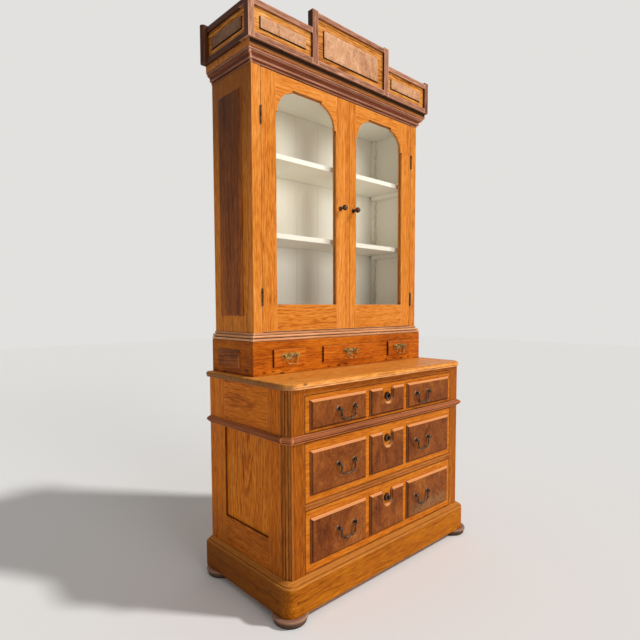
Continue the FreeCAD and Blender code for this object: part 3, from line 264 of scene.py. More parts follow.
def add_grain(name, level=False, as_one=False, flat_sawn=False):
    """A modifier that gives every board of a CAD node its own place in a tree, as the attribute grain:
    metres along the grain and across it from the heart. The attribute board is a random share.
    level lays no board's grain upright, as_one gives all boards that lie along X one place in one tree,
    and flat_sawn puts the heart behind an upright board's face, which draws pointed arches on it."""
    node = nodes[name]
    found = solids(node.data)
    group = bpy.data.node_groups.new(f"grain_{name}", "GeometryNodeTree")
    group.interface.new_socket("Geometry", in_out="INPUT", socket_type="NodeSocketGeometry")
    group.interface.new_socket("Geometry", in_out="OUTPUT", socket_type="NodeSocketGeometry")
    new, link = group.nodes.new, group.links.new
    source, sink = new("NodeGroupInput"), new("NodeGroupOutput")
    index = new("GeometryNodeInputIndex").outputs[0]

    which = None
    for _, _, end in found[:-1]:
        past = new("ShaderNodeMath")
        past.operation = "GREATER_THAN"
        link(index, past.inputs[0])
        past.inputs[1].default_value = end - 0.5
        if which is None:
            which = past.outputs[0]
        else:
            total = new("ShaderNodeMath")
            total.operation = "ADD"
            link(which, total.inputs[0])
            link(past.outputs[0], total.inputs[1])
            which = total.outputs[0]

    def per_board(kind, values):
        switch = new("GeometryNodeIndexSwitch")
        switch.data_type = kind
        while len(switch.index_switch_items) < len(values):
            switch.index_switch_items.new()
        for slot, value in enumerate(values):
            switch.inputs[slot + 1].default_value = value
        if which is not None:
            link(which, switch.inputs["Index"])
        return switch.outputs[0]

    middles, turns, hearts, shares = [], [], [], []
    first = None
    for low, high, _ in found:
        middle, size = (low + high) / 2, high - low
        axis = max(range(3), key=lambda axis: size[axis])
        if level and axis == ALONG_Z:
            axis = ALONG_X
        lay = Euler(LAY_ALONG[axis]).to_matrix()
        roll = Euler((random.uniform(0, 2 * math.pi), random.uniform(-GRAIN_TILT, GRAIN_TILT),
                      random.uniform(-GRAIN_TILT, GRAIN_TILT))).to_matrix()
        distance, angle = random.uniform(PITH_NEAR, PITH_FAR), random.uniform(0, 2 * math.pi)
        heart = (random.uniform(0, TREE_LENGTH), distance * math.cos(angle), distance * math.sin(angle))
        share = random.random()
        if flat_sawn:
            roll = Euler((0.0, FLAT_SAWN_TILT, 0.0)).to_matrix()
            heart = (heart[0], 0.0, FLAT_SAWN_HEART)
        if as_one and axis == ALONG_X:
            first = first or (middle, (roll @ lay).to_euler(), heart, share)
            middle, turn, heart, share = first
        else:
            turn = (roll @ lay).to_euler()
        middles.append(middle)
        turns.append(turn)
        hearts.append(heart)
        shares.append(share)

    from_middle = new("ShaderNodeVectorMath")
    from_middle.operation = "SUBTRACT"
    link(new("GeometryNodeInputPosition").outputs[0], from_middle.inputs[0])
    link(per_board("VECTOR", middles), from_middle.inputs[1])
    turned = new("ShaderNodeVectorRotate")
    turned.rotation_type = "EULER_XYZ"
    link(from_middle.outputs[0], turned.inputs["Vector"])
    link(per_board("VECTOR", turns), turned.inputs["Rotation"])
    in_tree = new("ShaderNodeVectorMath")
    in_tree.operation = "ADD"
    link(turned.outputs[0], in_tree.inputs[0])
    link(per_board("VECTOR", hearts), in_tree.inputs[1])

    carried = source.outputs[0]
    for title, kind, value in (("grain", "FLOAT_VECTOR", in_tree.outputs[0]),
                               ("board", "FLOAT", per_board("FLOAT", shares))):
        store = new("GeometryNodeStoreNamedAttribute")
        store.data_type = kind
        store.inputs["Name"].default_value = title
        link(carried, store.inputs["Geometry"])
        link(value, store.inputs["Value"])
        carried = store.outputs[0]
    link(carried, sink.inputs[0])
    modifier = node.modifiers.new("grain", "NODES")
    modifier.node_group = group


# ---------------------------------------------------------------- wood

# black of knots and dark wax, and of painted shade and painted shadows
BLACK_WAX_AND_SHADE = srgb(20, 9, 4)
# brown of painted shade on sideways faces, on rims and towards some heights
SHADE_BROWN = srgb(50, 22, 12)
# how fast each pattern of a board changes, in cells to a metre along the grain and across it
WANDER, RIPPLE, PATCHES = (1.3, 5.0, 5.0), (7.0, 30.0, 30.0), (3.0, 9.0, 9.0)
STREAKS, FLECKS, PORES = (1.8, 95.0, 95.0), (24.0, 180.0, 180.0), (26.0, 420.0, 420.0)
WANDER_REACH = 0.05             # metres that the grain wanders to the side
RIPPLE_YEARS = 2.0              # year rings that the ripple shifts by
NOISE_SPREAD = 2.4              # brings noise, which keeps near its middle, to the width of the tones
KNOT_WANDER = 0.3               # the share of the grain's wander that bends a knot's outline
SIDE_SHADE_UNEVEN = 0.4              # the share of the painted side shade's height span that patches shift it by
LINE_DEPTH, RIM_DEPTH, BURL_GAP_WAX_AND_SHADE = 0.85, 0.8, 0.9             # how dark the painted shadow lines, the painted shade on rims and the wax and painted shade in gaps are
EDGE_REACH, GAP_REACH, EDGE_RADIUS = 0.007, 0.024, 0.0014      # metres, for rubbed edges, wax and painted shade in gaps, and the bevel
BURL_EDGE_REACH, BURL_GAP_REACH, BURL_EDGE_RADIUS = 0.006, 0.022, 0.0012
BURL_TURN, BURL_TURN_SCALE = 0.16, 5.5                         # how far the figure turns, and how often
BURL_CLOUD_SCALE = 7.0
WOOD_SHINE, BURL_SHINE = 0.06, 0.1                             # specular levels of the waxed woods


def inside_share(tree, place, low, high):
    """1 between the corners low and high, 0 outside."""
    above = tree.parts(tree.vector("SUBTRACT", place, low))
    below = tree.parts(tree.vector("SUBTRACT", high, place))
    inside = 1.0
    for distance in (*above, *below):
        inside = tree.times(inside, tree.math("GREATER_THAN", distance, 0.0))
    return inside


def sideways_share(tree):
    """1 on faces that look along X, 0 on faces that look forward, up or down."""
    return tree.span(tree.math("ABSOLUTE", tree.facing()[0]), 0.3, 0.9)


def forward_share(tree):
    """1 on faces that look along -Y."""
    return tree.span(tree.facing()[1], -0.3, -0.9)


# the rims that burl_wood paints black as painted shade
def rim_share(tree, place, side_x):
    """1 on the narrow faces of panels that face -Y, or face sideways where they lie beyond side_x."""
    out = tree.parts(tree.vector("ABSOLUTE", tree.add("ShaderNodeNewGeometry", {}).outputs["True Normal"]))
    sideways = tree.math("GREATER_THAN", tree.parts(tree.vector("ABSOLUTE", place))[0], side_x)
    facing = tree.math("ADD", tree.times(out[0], sideways),
                       tree.times(out[1], tree.math("SUBTRACT", 1.0, sideways)))
    return tree.span(facing, 0.6, 0.3)


def knot_share(tree, place, knots):
    """1 in the middle of a knot, 0 away from all of them. A knot is (centre, half sizes)."""
    share = 0.0
    for centre, size in knots:
        off = tree.vector("DIVIDE", tree.vector("SUBTRACT", place, centre), size)
        share = tree.math("MAXIMUM", share, tree.span(tree.vector("LENGTH", off), 1.15, 0.2))
    return share


def board_figure(tree, ring_gap):
    """The patterns of a board at its place in its tree: wander is how its grain bends, early is 1 in the
    early wood of a year, pores is 1 in an open pore, and the others are noise."""
    grain = tree.attribute("grain", "Vector")
    wander = tree.shift(tree.vector("MULTIPLY", grain, WANDER), (0.0, WANDER_REACH, WANDER_REACH))
    bent = tree.vector("ADD", grain, wander)

    across = tree.vector("LENGTH", tree.vector("MULTIPLY", bent, (0.0, 1.0, 1.0)))
    ripple = tree.stretched(bent, RIPPLE, detail=3.0)
    years = tree.math("ADD", tree.math("DIVIDE", across, ring_gap), tree.times(ripple, RIPPLE_YEARS))
    phase = tree.math("FRACT", years)
    year = tree.add("ShaderNodeTexWhiteNoise", {"W": tree.math("FLOOR", years)}, noise_dimensions="1D")
    early = tree.times(tree.span(phase, 0.0, 0.3), tree.span(phase, 1.0, 0.35))
    early = tree.times(early, tree.span(year.outputs[0], 0.0, 1.0, 0.15, 1.0))

    pores = tree.span(tree.stretched(bent, PORES), 0.54, 0.7)
    return SimpleNamespace(wander=wander, early=early,
                           streaks=tree.stretched(bent, STREAKS, detail=3.0, roughness=0.6),
                           flecks=tree.stretched(bent, FLECKS),
                           patches=tree.stretched(bent, PATCHES, detail=3.0, roughness=0.6),
                           pores=tree.times(pores, tree.math("ADD", early, 0.35, clamp=True)))


def wood(name, tones, rings=0.2, ring_gap=0.0045, streaks=0.2, flecks=0.36, pores=0.5, cloud=0.18, vary=0.12,
         roughness=0.46, knots=(), knot_depth=0.8, edge=None, wear=0.15, upward_highlight=0.0, side_shade=0.0,
         shade_behind=None, side_shade_by_height=None, black_shade_by_height=None, lines=(), rims_until=None, gap_wax_and_shade=0.85, paint=None):
    """A waxed wood, whose tones go from dark to light.
    rings, streaks, flecks, cloud, vary: how much the year rings, long streaks, short flecks, soft patches and
        the board change the tone. ring_gap is a year's width, and pores the darkness of the open pores.
    knots, knot_depth: each knot as (centre, half sizes), and how dark they are.
    edge, wear, handled: the colour of rubbed places, and how much of it shows on worn edges and, as a
    painted highlight, on faces that slope upwards.
    side_shade, shade_behind: painted shade: how much darker the faces that look sideways are than the front,
    and the y beyond which all faces are as dark.
    smoked: (low, high, share). Painted shade, which darkens sideways faces by share from low to high.
    soot: (low, high, share, all_round). The same painted shade in black, on faces that look forward, or on
    all.
    lines: the (low, high) corners of regions that are black, as painted shadows.
    rims_until: the y up to which the faces that don't look sideways are dark, as painted shade.
    grime: how black the gaps are, with dark wax and painted shade.
    paint: (low corner, high corner, colour) of a painted inside."""
    tree = Tree(name)
    place = tree.place()
    figure = board_figure(tree, ring_gap)
    tone = tree.summed(((NOISE_SPREAD * streaks, figure.streaks), (NOISE_SPREAD * flecks, figure.flecks),
                        (NOISE_SPREAD * cloud, figure.patches), (vary, tree.attribute("board", "Fac"))))
    tone = tree.math("SUBTRACT", tone, tree.times(figure.early, rings))
    colour = tree.toned(tone, tones, 0.12)
    colour = tree.tinted(colour, tones[0], figure.pores, pores)
    if knots:
        near = tree.vector("ADD", place, tree.vector("MULTIPLY", figure.wander, (KNOT_WANDER,) * 3))
        colour = tree.tinted(colour, BLACK_WAX_AND_SHADE, knot_share(tree, near, knots), knot_depth)
    if edge is not None:
        rubbed = tree.times(tree.edges(EDGE_REACH), tree.span(figure.patches, 0.3, 0.6, 0.4, 1.0))
        colour = tree.tinted(colour, edge, rubbed, wear)
    # painted highlight: faces that slope upwards take the edge colour
    if upward_highlight:
        colour = tree.mix(tree.span(tree.facing()[2], 0.1, 0.5, 0.0, upward_highlight), colour, edge)
    # painted shade on faces that look sideways, and on all faces beyond shade_behind
    if side_shade:
        in_side_shade = sideways_share(tree)
        if shade_behind is not None:
            behind = tree.math("GREATER_THAN", tree.parts(place)[1], shade_behind)
            in_side_shade = tree.math("MAXIMUM", in_side_shade, behind)
        colour = tree.tinted(colour, SHADE_BROWN, in_side_shade, side_shade)
    # painted shade on faces that look sideways, darkening from one height to the other
    if side_shade_by_height is not None:
        low, high, share = side_shade_by_height
        uneven = tree.times(figure.patches, SIDE_SHADE_UNEVEN * abs(high - low))
        share = tree.span(tree.math("ADD", tree.parts(place)[2], uneven), low, high, 0.0, share)
        colour = tree.tinted(colour, SHADE_BROWN, share, sideways_share(tree))
    # painted shade in black between two heights, on faces that look forward, or on all faces when all_round
    # is set
    if black_shade_by_height is not None:
        low, high, share, all_round = black_shade_by_height
        share = tree.span(tree.parts(place)[2], low, high, 0.0, share)
        colour = tree.tinted(colour, BLACK_WAX_AND_SHADE, share, 1.0 if all_round else forward_share(tree))
    # painted shadows: the regions of lines turn black
    for low, high in lines:
        colour = tree.tinted(colour, BLACK_WAX_AND_SHADE, inside_share(tree, place, low, high), LINE_DEPTH)
    # painted shade on faces that don't look sideways, up to rims_until
    if rims_until is not None:
        rims = tree.times(tree.math("SUBTRACT", 1.0, sideways_share(tree)),
                          tree.math("LESS_THAN", tree.parts(place)[1], rims_until))
        colour = tree.tinted(colour, SHADE_BROWN, rims, RIM_DEPTH)
    # dark wax and painted shade in gaps and inner corners
    colour = tree.tinted(colour, BLACK_WAX_AND_SHADE, tree.gaps(GAP_REACH), gap_wax_and_shade)
    if paint is not None:
        low, high, coat = paint
        colour = tree.mix(inside_share(tree, place, low, high), colour, coat)

    dull = tree.math("ADD", tree.span(figure.patches, 0.3, 0.7, roughness - 0.06, roughness + 0.08),
                     tree.times(figure.pores, 0.2))
    relief = tree.math("SUBTRACT", tree.times(figure.streaks, 0.4), tree.times(figure.pores, 0.8))
    return tree.shaded({"Base Color": colour, "Roughness": dull, "Specular IOR Level": WOOD_SHINE,
                        "Normal": tree.bump(relief, 0.3, 0.0005, tree.worn_edge(EDGE_RADIUS))})


def burl_wood(name, tones, scale=14.0, veins=0.2, edge=None, wear=0.4, rims=None, side_shade=0.0,
              bleached=None):
    """Figured wood: soft turning patches with thin dark veins. rims is what rim_share takes,
    side_shade is as in wood, and bleached is (centre, half sizes, colour) of a worn patch."""
    tree = Tree(name)
    place = tree.place()
    turn = tree.shift(place, (BURL_TURN,) * 3, scale=BURL_TURN_SCALE)
    turned = tree.vector("ADD", place, turn)
    figure = tree.stretched(turned, (1.0, 1.0, 0.6), scale=scale, detail=4.0, roughness=0.55, distortion=0.6)
    fine = tree.stretched(turned, (1.0, 1.0, 0.3), scale=scale * 11.0, detail=3.0)
    cloud = tree.noise(place, scale=BURL_CLOUD_SCALE)
    tone = tree.summed(((0.8, figure), (0.75, fine), (0.45, cloud)))
    colour = tree.toned(tone, tones, 0.14)
    crossing = tree.noise(turned, scale=scale * 0.8, detail=3.0, distortion=1.0)
    vein = tree.span(tree.math("ABSOLUTE", tree.math("SUBTRACT", crossing, 0.5)), 0.02, 0.0)
    colour = tree.tinted(colour, tones[0], vein, veins)
    if bleached is not None:
        centre, size, worn = bleached
        ragged = tree.vector("ADD", place, tree.vector("MULTIPLY", turn, (0.5, 0.5, 0.5)))
        off = tree.vector("DIVIDE", tree.vector("SUBTRACT", ragged, centre), size)
        share = tree.span(tree.vector("LENGTH", off), 1.0, 0.3, 0.0, 0.5)
        colour = tree.tinted(colour, worn, share, tree.span(fine, 0.3, 0.65, 0.3, 1.0))
    # rubbed edges, stronger on faces that look up as painted highlight; a painted highlight on faces that
    # look up, and painted shade on faces that look sideways or down
    if edge is not None:
        out = tree.facing()
        rubbed = tree.times(tree.edges(BURL_EDGE_REACH), wear)
        colour = tree.tinted(colour, edge, rubbed, tree.span(out[2], -0.2, 0.2, 0.3, 1.0))
        colour = tree.mix(tree.span(out[2], 0.15, 0.4, 0.0, 0.7), colour, edge)
        shade_aside_and_below = tree.math("MAXIMUM", tree.math("ABSOLUTE", out[0]), tree.math("SUBTRACT", 0.0, out[2]))
        colour = tree.mix(tree.span(shade_aside_and_below, 0.15, 0.4, 0.0, 0.6), colour, tones[0])
    # painted shade on faces that look sideways
    if side_shade:
        colour = tree.tinted(colour, SHADE_BROWN, sideways_share(tree), side_shade)
    # painted shade: the rims of the panels turn black
    if rims is not None:
        colour = tree.mix(rim_share(tree, place, rims), colour, BLACK_WAX_AND_SHADE)
    # dark wax and painted shade in gaps
    colour = tree.tinted(colour, BLACK_WAX_AND_SHADE, tree.gaps(BURL_GAP_REACH), BURL_GAP_WAX_AND_SHADE)
    return tree.shaded({"Base Color": colour, "Roughness": tree.span(figure, 0.3, 0.7, 0.42, 0.54),
                        "Specular IOR Level": BURL_SHINE,
                        "Normal": tree.bump(fine, 0.15, 0.0004, tree.worn_edge(BURL_EDGE_RADIUS))})


# ---------------------------------------------------------------- places and materials

CREAM = srgb(251, 247, 232)
PAINT_TOP, PAINT_FOOT = 1.55, 1.15      # the heights between which the paint darkens, as painted shade low down
STILE_THICKNESS = 0.020                 # of the upper case's face stiles
HAIR = 0.0004                           # takes a region past the faces that bound it, or keeps it off them
SIDE_PANEL_INSET = 0.012                # beyond it from the end, the parapet's panels face sideways
KNOT_SIZES = 0.7, 1.3                   # the smallest and largest share of a knot's usual size
case_low, case_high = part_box("upper_case")
back_low, back_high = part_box("upper_back")
inside_low = Vector((back_low.x - HAIR, case_low.y + STILE_THICKNESS + HAIR, case_low.z + HAIR))
inside_high = Vector((back_high.x + HAIR, back_high.y, case_high.z - HAIR))
frame_low, frame_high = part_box("parapet_fields")
SIDE_PANEL_X = frame_high.x - SIDE_PANEL_INSET

waist_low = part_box("waist_case")[0]
top_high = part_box("countertop")[1]
plinth_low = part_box("plinth")[0]
board_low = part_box("top_board")[0]
panels_low, panels_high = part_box("bottom_drawer_panels")


def shadow_lines(name, width):
    """Black margins on the boards behind raised panels, where the photo shows dark lines: at the left and
    below on the front, and at the front and below on the sides."""
    lines = []
    for low, high, _ in solids(nodes[name].data):
        if high.x - low.x > high.y - low.y:
            lines.append(((low.x - width, low.y, low.z - width), (high.x, high.y + HAIR, high.z)))
        else:
            lines.append(((low.x - HAIR, low.y, low.z - width), (high.x + HAIR, high.y + width, high.z)))
    return lines


def knots_at(places, size):
    """Knots at these places, as wood takes them, with half sizes near size."""
    return [(Vector(place), Vector(size) * random.uniform(*KNOT_SIZES)) for place in places]


# the larger knots and dark marks of the photo
WAIST_KNOTS = knots_at([(x, waist_low.y, waist_low.z + up) for x, up in
                        ((-0.467, 0.012), (-0.425, 0.014), (-0.38, 0.004), (-0.125, 0.008), (-0.065, 0.010),
                         (-0.021, 0.013), (0.256, 0.010), (0.369, 0.010), (0.427, 0.012))],
                       (0.016, 0.012, 0.0065))
WAIST_KNOTS += knots_at([(waist_low.x, y, waist_low.z + up) for y, up in
                         ((0.027, 0.025), (0.178, 0.008), (0.248, 0.007))], (0.012, 0.02, 0.007))
TOP_KNOTS = knots_at([(x, y, top_high.z) for x, y in ((-0.469, -0.2587), (-0.427, -0.1287), (0.31, -0.2))],
                     (0.016, 0.007, 0.012))
PLINTH_KNOTS = knots_at([(plinth_low.x, y, z) for y, z in
                         ((-0.0317, 0.112), (-0.0947, 0.072), (-0.1677, 0.100), (-0.2077, 0.0745))],
                        (0.012, 0.010, 0.006))
PLINTH_KNOTS += knots_at([(x, plinth_low.y, z) for x, z in ((-0.517, 0.082), (-0.498, 0.0505), (0.21, 0.06))],
                         (0.010, 0.012, 0.006))
WORN_FOOT = (panels_high.x - 0.13, panels_low.y, panels_low.z + 0.015)     # of the bottom drawer's panels
WORN_FOOT_SIZE = (0.24, 0.05, 0.065)

HONEY = shades((159, 79, 18), (203, 118, 37), (221, 139, 57), (237, 167, 100))
case_honey = wood("honey_oak", HONEY, edge=srgb(255, 196, 132), side_shade_by_height=(1.5, 2.15, 0.6),
                  paint=(inside_low, inside_high, CREAM))
door_honey = wood("door_oak", HONEY, edge=srgb(255, 196, 132), gap_wax_and_shade=0.55)
# painted shade: a dark edge colour darkens the fronts' edges beside the gaps around them
drawer_oak = wood("drawer_oak", shades((137, 64, 7), (184, 98, 18), (204, 118, 30), (220, 146, 52)),
                  edge=srgb(96, 44, 8), wear=0.75)
case_oak = wood("case_oak", shades((105, 48, 5), (145, 74, 10), (170, 91, 18), (194, 117, 35)),
                edge=srgb(238, 170, 104), wear=0.15, gap_wax_and_shade=0.35)
side_oak = wood("side_oak", shades((144, 67, 7), (198, 104, 20), (222, 126, 32), (235, 152, 55)),
                edge=srgb(244, 180, 112), gap_wax_and_shade=0.6, side_shade_by_height=(0.5, 0.2, 0.3), rims_until=back_high.y - 0.01)
panel_oak = wood("panel_oak", shades((140, 64, 7), (200, 105, 22), (228, 133, 34), (242, 158, 56)),
                 rings=0.3, ring_gap=0.006)
# soot: painted shadow of the parapet's bottom rail on the top board's front
board_oak = wood("board_oak", shades((120, 62, 20), (170, 100, 44), (196, 124, 62), (222, 152, 90)),
                 edge=srgb(244, 180, 112), black_shade_by_height=(board_low.z - 0.004, board_low.z + 0.015, 0.95, False))
plinth_oak = wood("plinth_oak", shades((110, 55, 2), (158, 84, 8), (185, 108, 14), (219, 142, 30)),
                  vary=0.0, flecks=0.28, pores=0.2, edge=srgb(228, 158, 84), wear=0.0, upward_highlight=0.3,
                  side_shade=0.4, knots=PLINTH_KNOTS, knot_depth=0.45)
corner_oak = wood("corner_oak", shades((96, 51, 13), (147, 83, 28), (171, 102, 41), (195, 132, 65)),
                  gap_wax_and_shade=0.15)
top_oak = wood("oak_countertop", shades((155, 84, 20), (211, 128, 44), (232, 154, 70), (244, 186, 112)),
               edge=srgb(255, 206, 158), wear=0.8, roughness=0.4, side_shade=0.6, knots=TOP_KNOTS)
red_oak = wood("red_oak", shades((115, 49, 6), (166, 80, 10), (198, 106, 18), (224, 136, 37)),
               rings=0.15, ring_gap=0.008, streaks=0.12, flecks=0.3, cloud=0.4, vary=0.0, side_shade=0.18,
               knots=WAIST_KNOTS)
front_oak = wood("small_front_oak", shades((115, 47, 6), (164, 78, 12), (194, 101, 20), (220, 133, 38)),
                 rings=0.2, edge=srgb(246, 164, 98), wear=0.3, side_shade=0.8)
pale_walnut = wood("pale_walnut", shades((123, 70, 44), (189, 124, 80), (228, 164, 115), (252, 203, 156)),
                   flecks=0.15, rings=0.1, edge=srgb(250, 192, 142), wear=0.4, upward_highlight=0.35)
deep_walnut = wood("deep_walnut", shades((94, 51, 33), (145, 94, 68), (176, 124, 96), (211, 165, 135)),
                   edge=srgb(236, 176, 146), wear=0.6, side_shade=0.85, shade_behind=frame_low.y + 0.05)
cornice_walnut = wood("cornice_walnut", shades((76, 35, 20), (122, 66, 42), (151, 88, 61), (181, 121, 91)),
                      flecks=0.15, edge=srgb(246, 184, 150), wear=0.8, side_shade=0.55, upward_highlight=0.5)
# soot: painted shade on the feet, darker towards the floor
foot_walnut = wood("foot_walnut", shades((68, 45, 34), (116, 88, 70), (140, 111, 90), (168, 145, 124)),
                   rings=0.1, flecks=0.1, edge=srgb(214, 152, 122), wear=0.4, upward_highlight=0.3,
                   black_shade_by_height=(0.020, 0.010, 0.65, True))
band_walnut = wood("band_walnut", shades((54, 23, 10), (98, 46, 22), (124, 61, 31), (162, 90, 50)),
                   rings=0.1, flecks=0.25, cloud=0.45, edge=srgb(226, 142, 88), wear=0.85, upward_highlight=0.28)
walnut = wood("walnut", shades((78, 35, 10), (135, 72, 29), (168, 96, 44), (200, 125, 64)),
              streaks=0.3, flecks=0.25, cloud=0.35, edge=srgb(200, 136, 92), wear=0.3,
              side_shade_by_height=(1.3, 1.95, 0.6))
field_oak = wood("field_oak", shades((120, 62, 14), (190, 116, 44), (224, 152, 74), (246, 190, 116)),
                 rings=0.3, ring_gap=0.007, lines=shadow_lines("parapet_panels", width=0.005))
pine = wood("pine_inside", shades((158, 106, 60), (196, 146, 94), (216, 172, 120), (230, 192, 146)),
            rings=0.12, ring_gap=0.006, streaks=0.12, flecks=0.15, pores=0.1, roughness=0.6, gap_wax_and_shade=0.5)
pine_ends = burl_wood("pine_tails", shades((150, 100, 54), (196, 148, 92), (214, 170, 116), (228, 190, 140)),
                      scale=30.0, veins=0.0)
dark_burl = burl_wood("walnut_burl", shades((69, 29, 6), (110, 53, 15), (139, 74, 25), (168, 99, 41)),
                      edge=srgb(238, 158, 94), wear=0.9,
                      bleached=(WORN_FOOT, WORN_FOOT_SIZE, srgb(152, 116, 72)))
pale_burl = burl_wood("pale_burl", shades((122, 76, 48), (182, 128, 90), (208, 156, 116), (234, 188, 150)),
                      scale=20.0, rims=SIDE_PANEL_X, side_shade=0.7)


def cream_paint():
    """Cream paint, darker low down, with bare wood on the outside of the back boards."""
    tree = Tree("cream_paint")
    strokes = tree.stretched(tree.attribute("grain", "Vector"), (3.0, 120.0, 120.0), detail=3.0)
    cloud = tree.noise(tree.place(), scale=3.2, detail=4.0)
    tone = tree.math("ADD", tree.times(strokes, 0.4), tree.times(cloud, 0.6))
    colour = tree.ramp(tone, (0.3, srgb(241, 235, 214)), (0.5, CREAM), (0.7, srgb(253, 251, 242)))
    bare = tree.ramp(strokes, (0.3, srgb(182, 132, 84)), (0.7, srgb(218, 174, 124)))
    place = tree.parts(tree.place())
    colour = tree.mix(tree.math("GREATER_THAN", place[1], back_high.y - HAIR), colour, bare)
    # painted shade: the paint darkens low down
    shade_low_down = tree.span(place[2], PAINT_TOP, PAINT_FOOT, 0.0, 0.55)
    colour = tree.mix(shade_low_down, colour, tree.mix(0.5, colour, srgb(80, 68, 50)))
    # painted shade in corners
    colour = tree.tinted(colour, srgb(140, 124, 96), tree.gaps(0.02), 0.4)
    return tree.shaded({"Base Color": colour, "Roughness": tree.span(strokes, 0.3, 0.7, 0.45, 0.6),
                        "Normal": tree.bump(strokes, 0.2, 0.0006, tree.worn_edge(0.0015))})


def metal(name, dark, light, roughness):
    tree = Tree(name)
    patches = tree.noise(tree.place(), scale=90.0, detail=4.0, roughness=0.65)
    colour = tree.ramp(patches, (0.35, dark), (0.62, light))
    colour = tree.tinted(colour, light, tree.edges(0.002, 0.15, 0.7), 0.5)
    return tree.shaded({"Base Color": colour, "Metallic": 1.0,
                        "Roughness": tree.span(patches, 0.3, 0.7, roughness, roughness + 0.18),
                        "Normal": tree.bump(patches, 0.25, 0.0005)})


def window_glass():
    """Old drawn glass: clear to lamps, with a faintly uneven reflection on its outer faces."""
    tree = Tree("window_glass")
    waves = tree.stretched(tree.place(), (9.0, 9.0, 3.0), detail=1.0)
    clear = tree.add("ShaderNodeBsdfTransparent", {"Color": srgb(253, 253, 252)})
    shine = tree.add("ShaderNodeBsdfGlossy", {"Color": (1, 1, 1, 1), "Roughness": 0.03,
                                              "Normal": tree.bump(waves, 0.12, 0.004)})
    facing = tree.add("ShaderNodeFresnel", {"IOR": 1.45}).outputs[0]
    behind = tree.add("ShaderNodeNewGeometry", {}).outputs["Backfacing"]
    facing = tree.times(facing, tree.math("SUBTRACT", 1.0, behind))
    both = tree.add("ShaderNodeMixShader", {0: facing, 1: clear.outputs[0], 2: shine.outputs[0]})
    tree.tree.nodes.remove(tree.shader)
    tree.set(tree.out.inputs["Surface"], both.outputs[0])
    return tree.material


cream = cream_paint()
bronze = metal("dark_bronze", srgb(38, 26, 19), srgb(112, 90, 72), 0.32)
brass = metal("old_brass", srgb(104, 76, 34), srgb(190, 152, 92), 0.34)
iron = metal("dark_iron", srgb(38, 34, 32), srgb(84, 74, 66), 0.5)
glass = window_glass()

LONG_DRAWERS = ("top", "middle", "bottom")
SMALL_DRAWERS = ("small_left", "small_centre", "small_right")
SIDES = ("left", "right")

LOOKS = {
    case_honey: ["upper_case"],
    door_honey: [f"{side}_door_frame" for side in SIDES],
    drawer_oak: [f"{row}_drawer_front" for row in LONG_DRAWERS],
    case_oak: ["front_posts", "drawer_rails"],
    side_oak: ["side_frames"],
    panel_oak: ["side_panels"],
    board_oak: ["top_board"],
    plinth_oak: ["plinth"],
    corner_oak: ["corner_reeds"],
    top_oak: ["countertop"],
    red_oak: ["waist_case"],
    front_oak: [f"{row}_drawer_front" for row in SMALL_DRAWERS],
    pale_walnut: ["waist_moulding"],
    foot_walnut: ["bun_feet"],
    deep_walnut: ["parapet_frame"],
    cornice_walnut: ["cornice_moulding"],
    band_walnut: ["band_moulding"],
    walnut: ["applied_side_panels"],
    field_oak: ["parapet_fields"],
    pale_burl: ["parapet_panels"],
    dark_burl: [f"{row}_drawer_panels" for row in LONG_DRAWERS],
    pine: ["lower_back", "drawer_runners"] + [f"{row}_drawer_box" for row in LONG_DRAWERS + SMALL_DRAWERS],
    cream: ["upper_back", "shelves", "shelf_racks"],
    glass: [f"{side}_door_glass" for side in SIDES],
    bronze: ["case_hinges"] + [f"{side}_door_metalwork" for side in SIDES]
            + [f"{row}_drawer_fittings" for row in LONG_DRAWERS]
            + [f"{row}_{side}_bail" for row in LONG_DRAWERS for side in SIDES],
    brass: [f"{row}_pull_plate" for row in SMALL_DRAWERS] + [f"{row}_bail" for row in SMALL_DRAWERS],
}
UNGRAINED = (glass, bronze, brass, dark_burl, pale_burl)

for material, names in LOOKS.items():
    for name in names:
        for slot in nodes[name].material_slots:
            slot.material = material
        if material not in UNGRAINED:
            add_grain(name, level=name == "plinth", as_one=name in ("plinth", "waist_case"),
                      flat_sawn=name == "side_panels")

# ---------------------------------------------------------------- small pieces

MM = 0.001
SUNK = 0.5 * MM                                     # how far a small piece goes into what carries it
SCREW_RADIUS, SCREW_HEIGHT = 2.6 * MM, 0.3 * MM
SLOT_HALF = 0.35 * MM                               # half of the slot's width
SCREW_SIDES, HALF_STEPS = 20, 5                     # corners of a head, and of a quarter of its raised halves
LEAF_X, CASE_LEAF_X = 458 * MM, 460 * MM            # the leaves' faces on the doors and on the case
HINGE_HEIGHTS = (1147 * MM, 1826.5 * MM)
SCREW_Y, SCREW_STAGGER = 8 * MM, 2.5 * MM           # a leaf's middle screw, and how far the others are behind
SCREW_GAP = 0.36 * 62 * MM                          # a share of the leaf's length
TAIL_PITCH = 32 * MM                                # the pitch that a drawer's tails come nearest to
ROOT_SHARE, TIP_SHARE = 0.28, 0.40                  # half widths of a tail, as shares of the pitch
TAIL_LAP, TAIL_HEIGHT = 7 * MM, 0.2 * MM            # the front's wood that covers the tails, and their relief
NAIL_RADIUS, NAIL_HEIGHT, NAIL_SIDES = 2.2 * MM, 0.5 * MM, 10
NAIL_STRAY = 3 * MM                                 # from its place in the row
NAIL_ROWS = ((470 * MM, 1021 * MM, 1997 * MM, 14),  # half width, low row, high row, and nails in each
             (500 * MM, 150 * MM, 812 * MM, 9))
NAIL_COLUMN_X = 500 * MM
NAIL_COLUMN_HEIGHTS = [(150 + 110 * step) * MM for step in range(1, 6)]


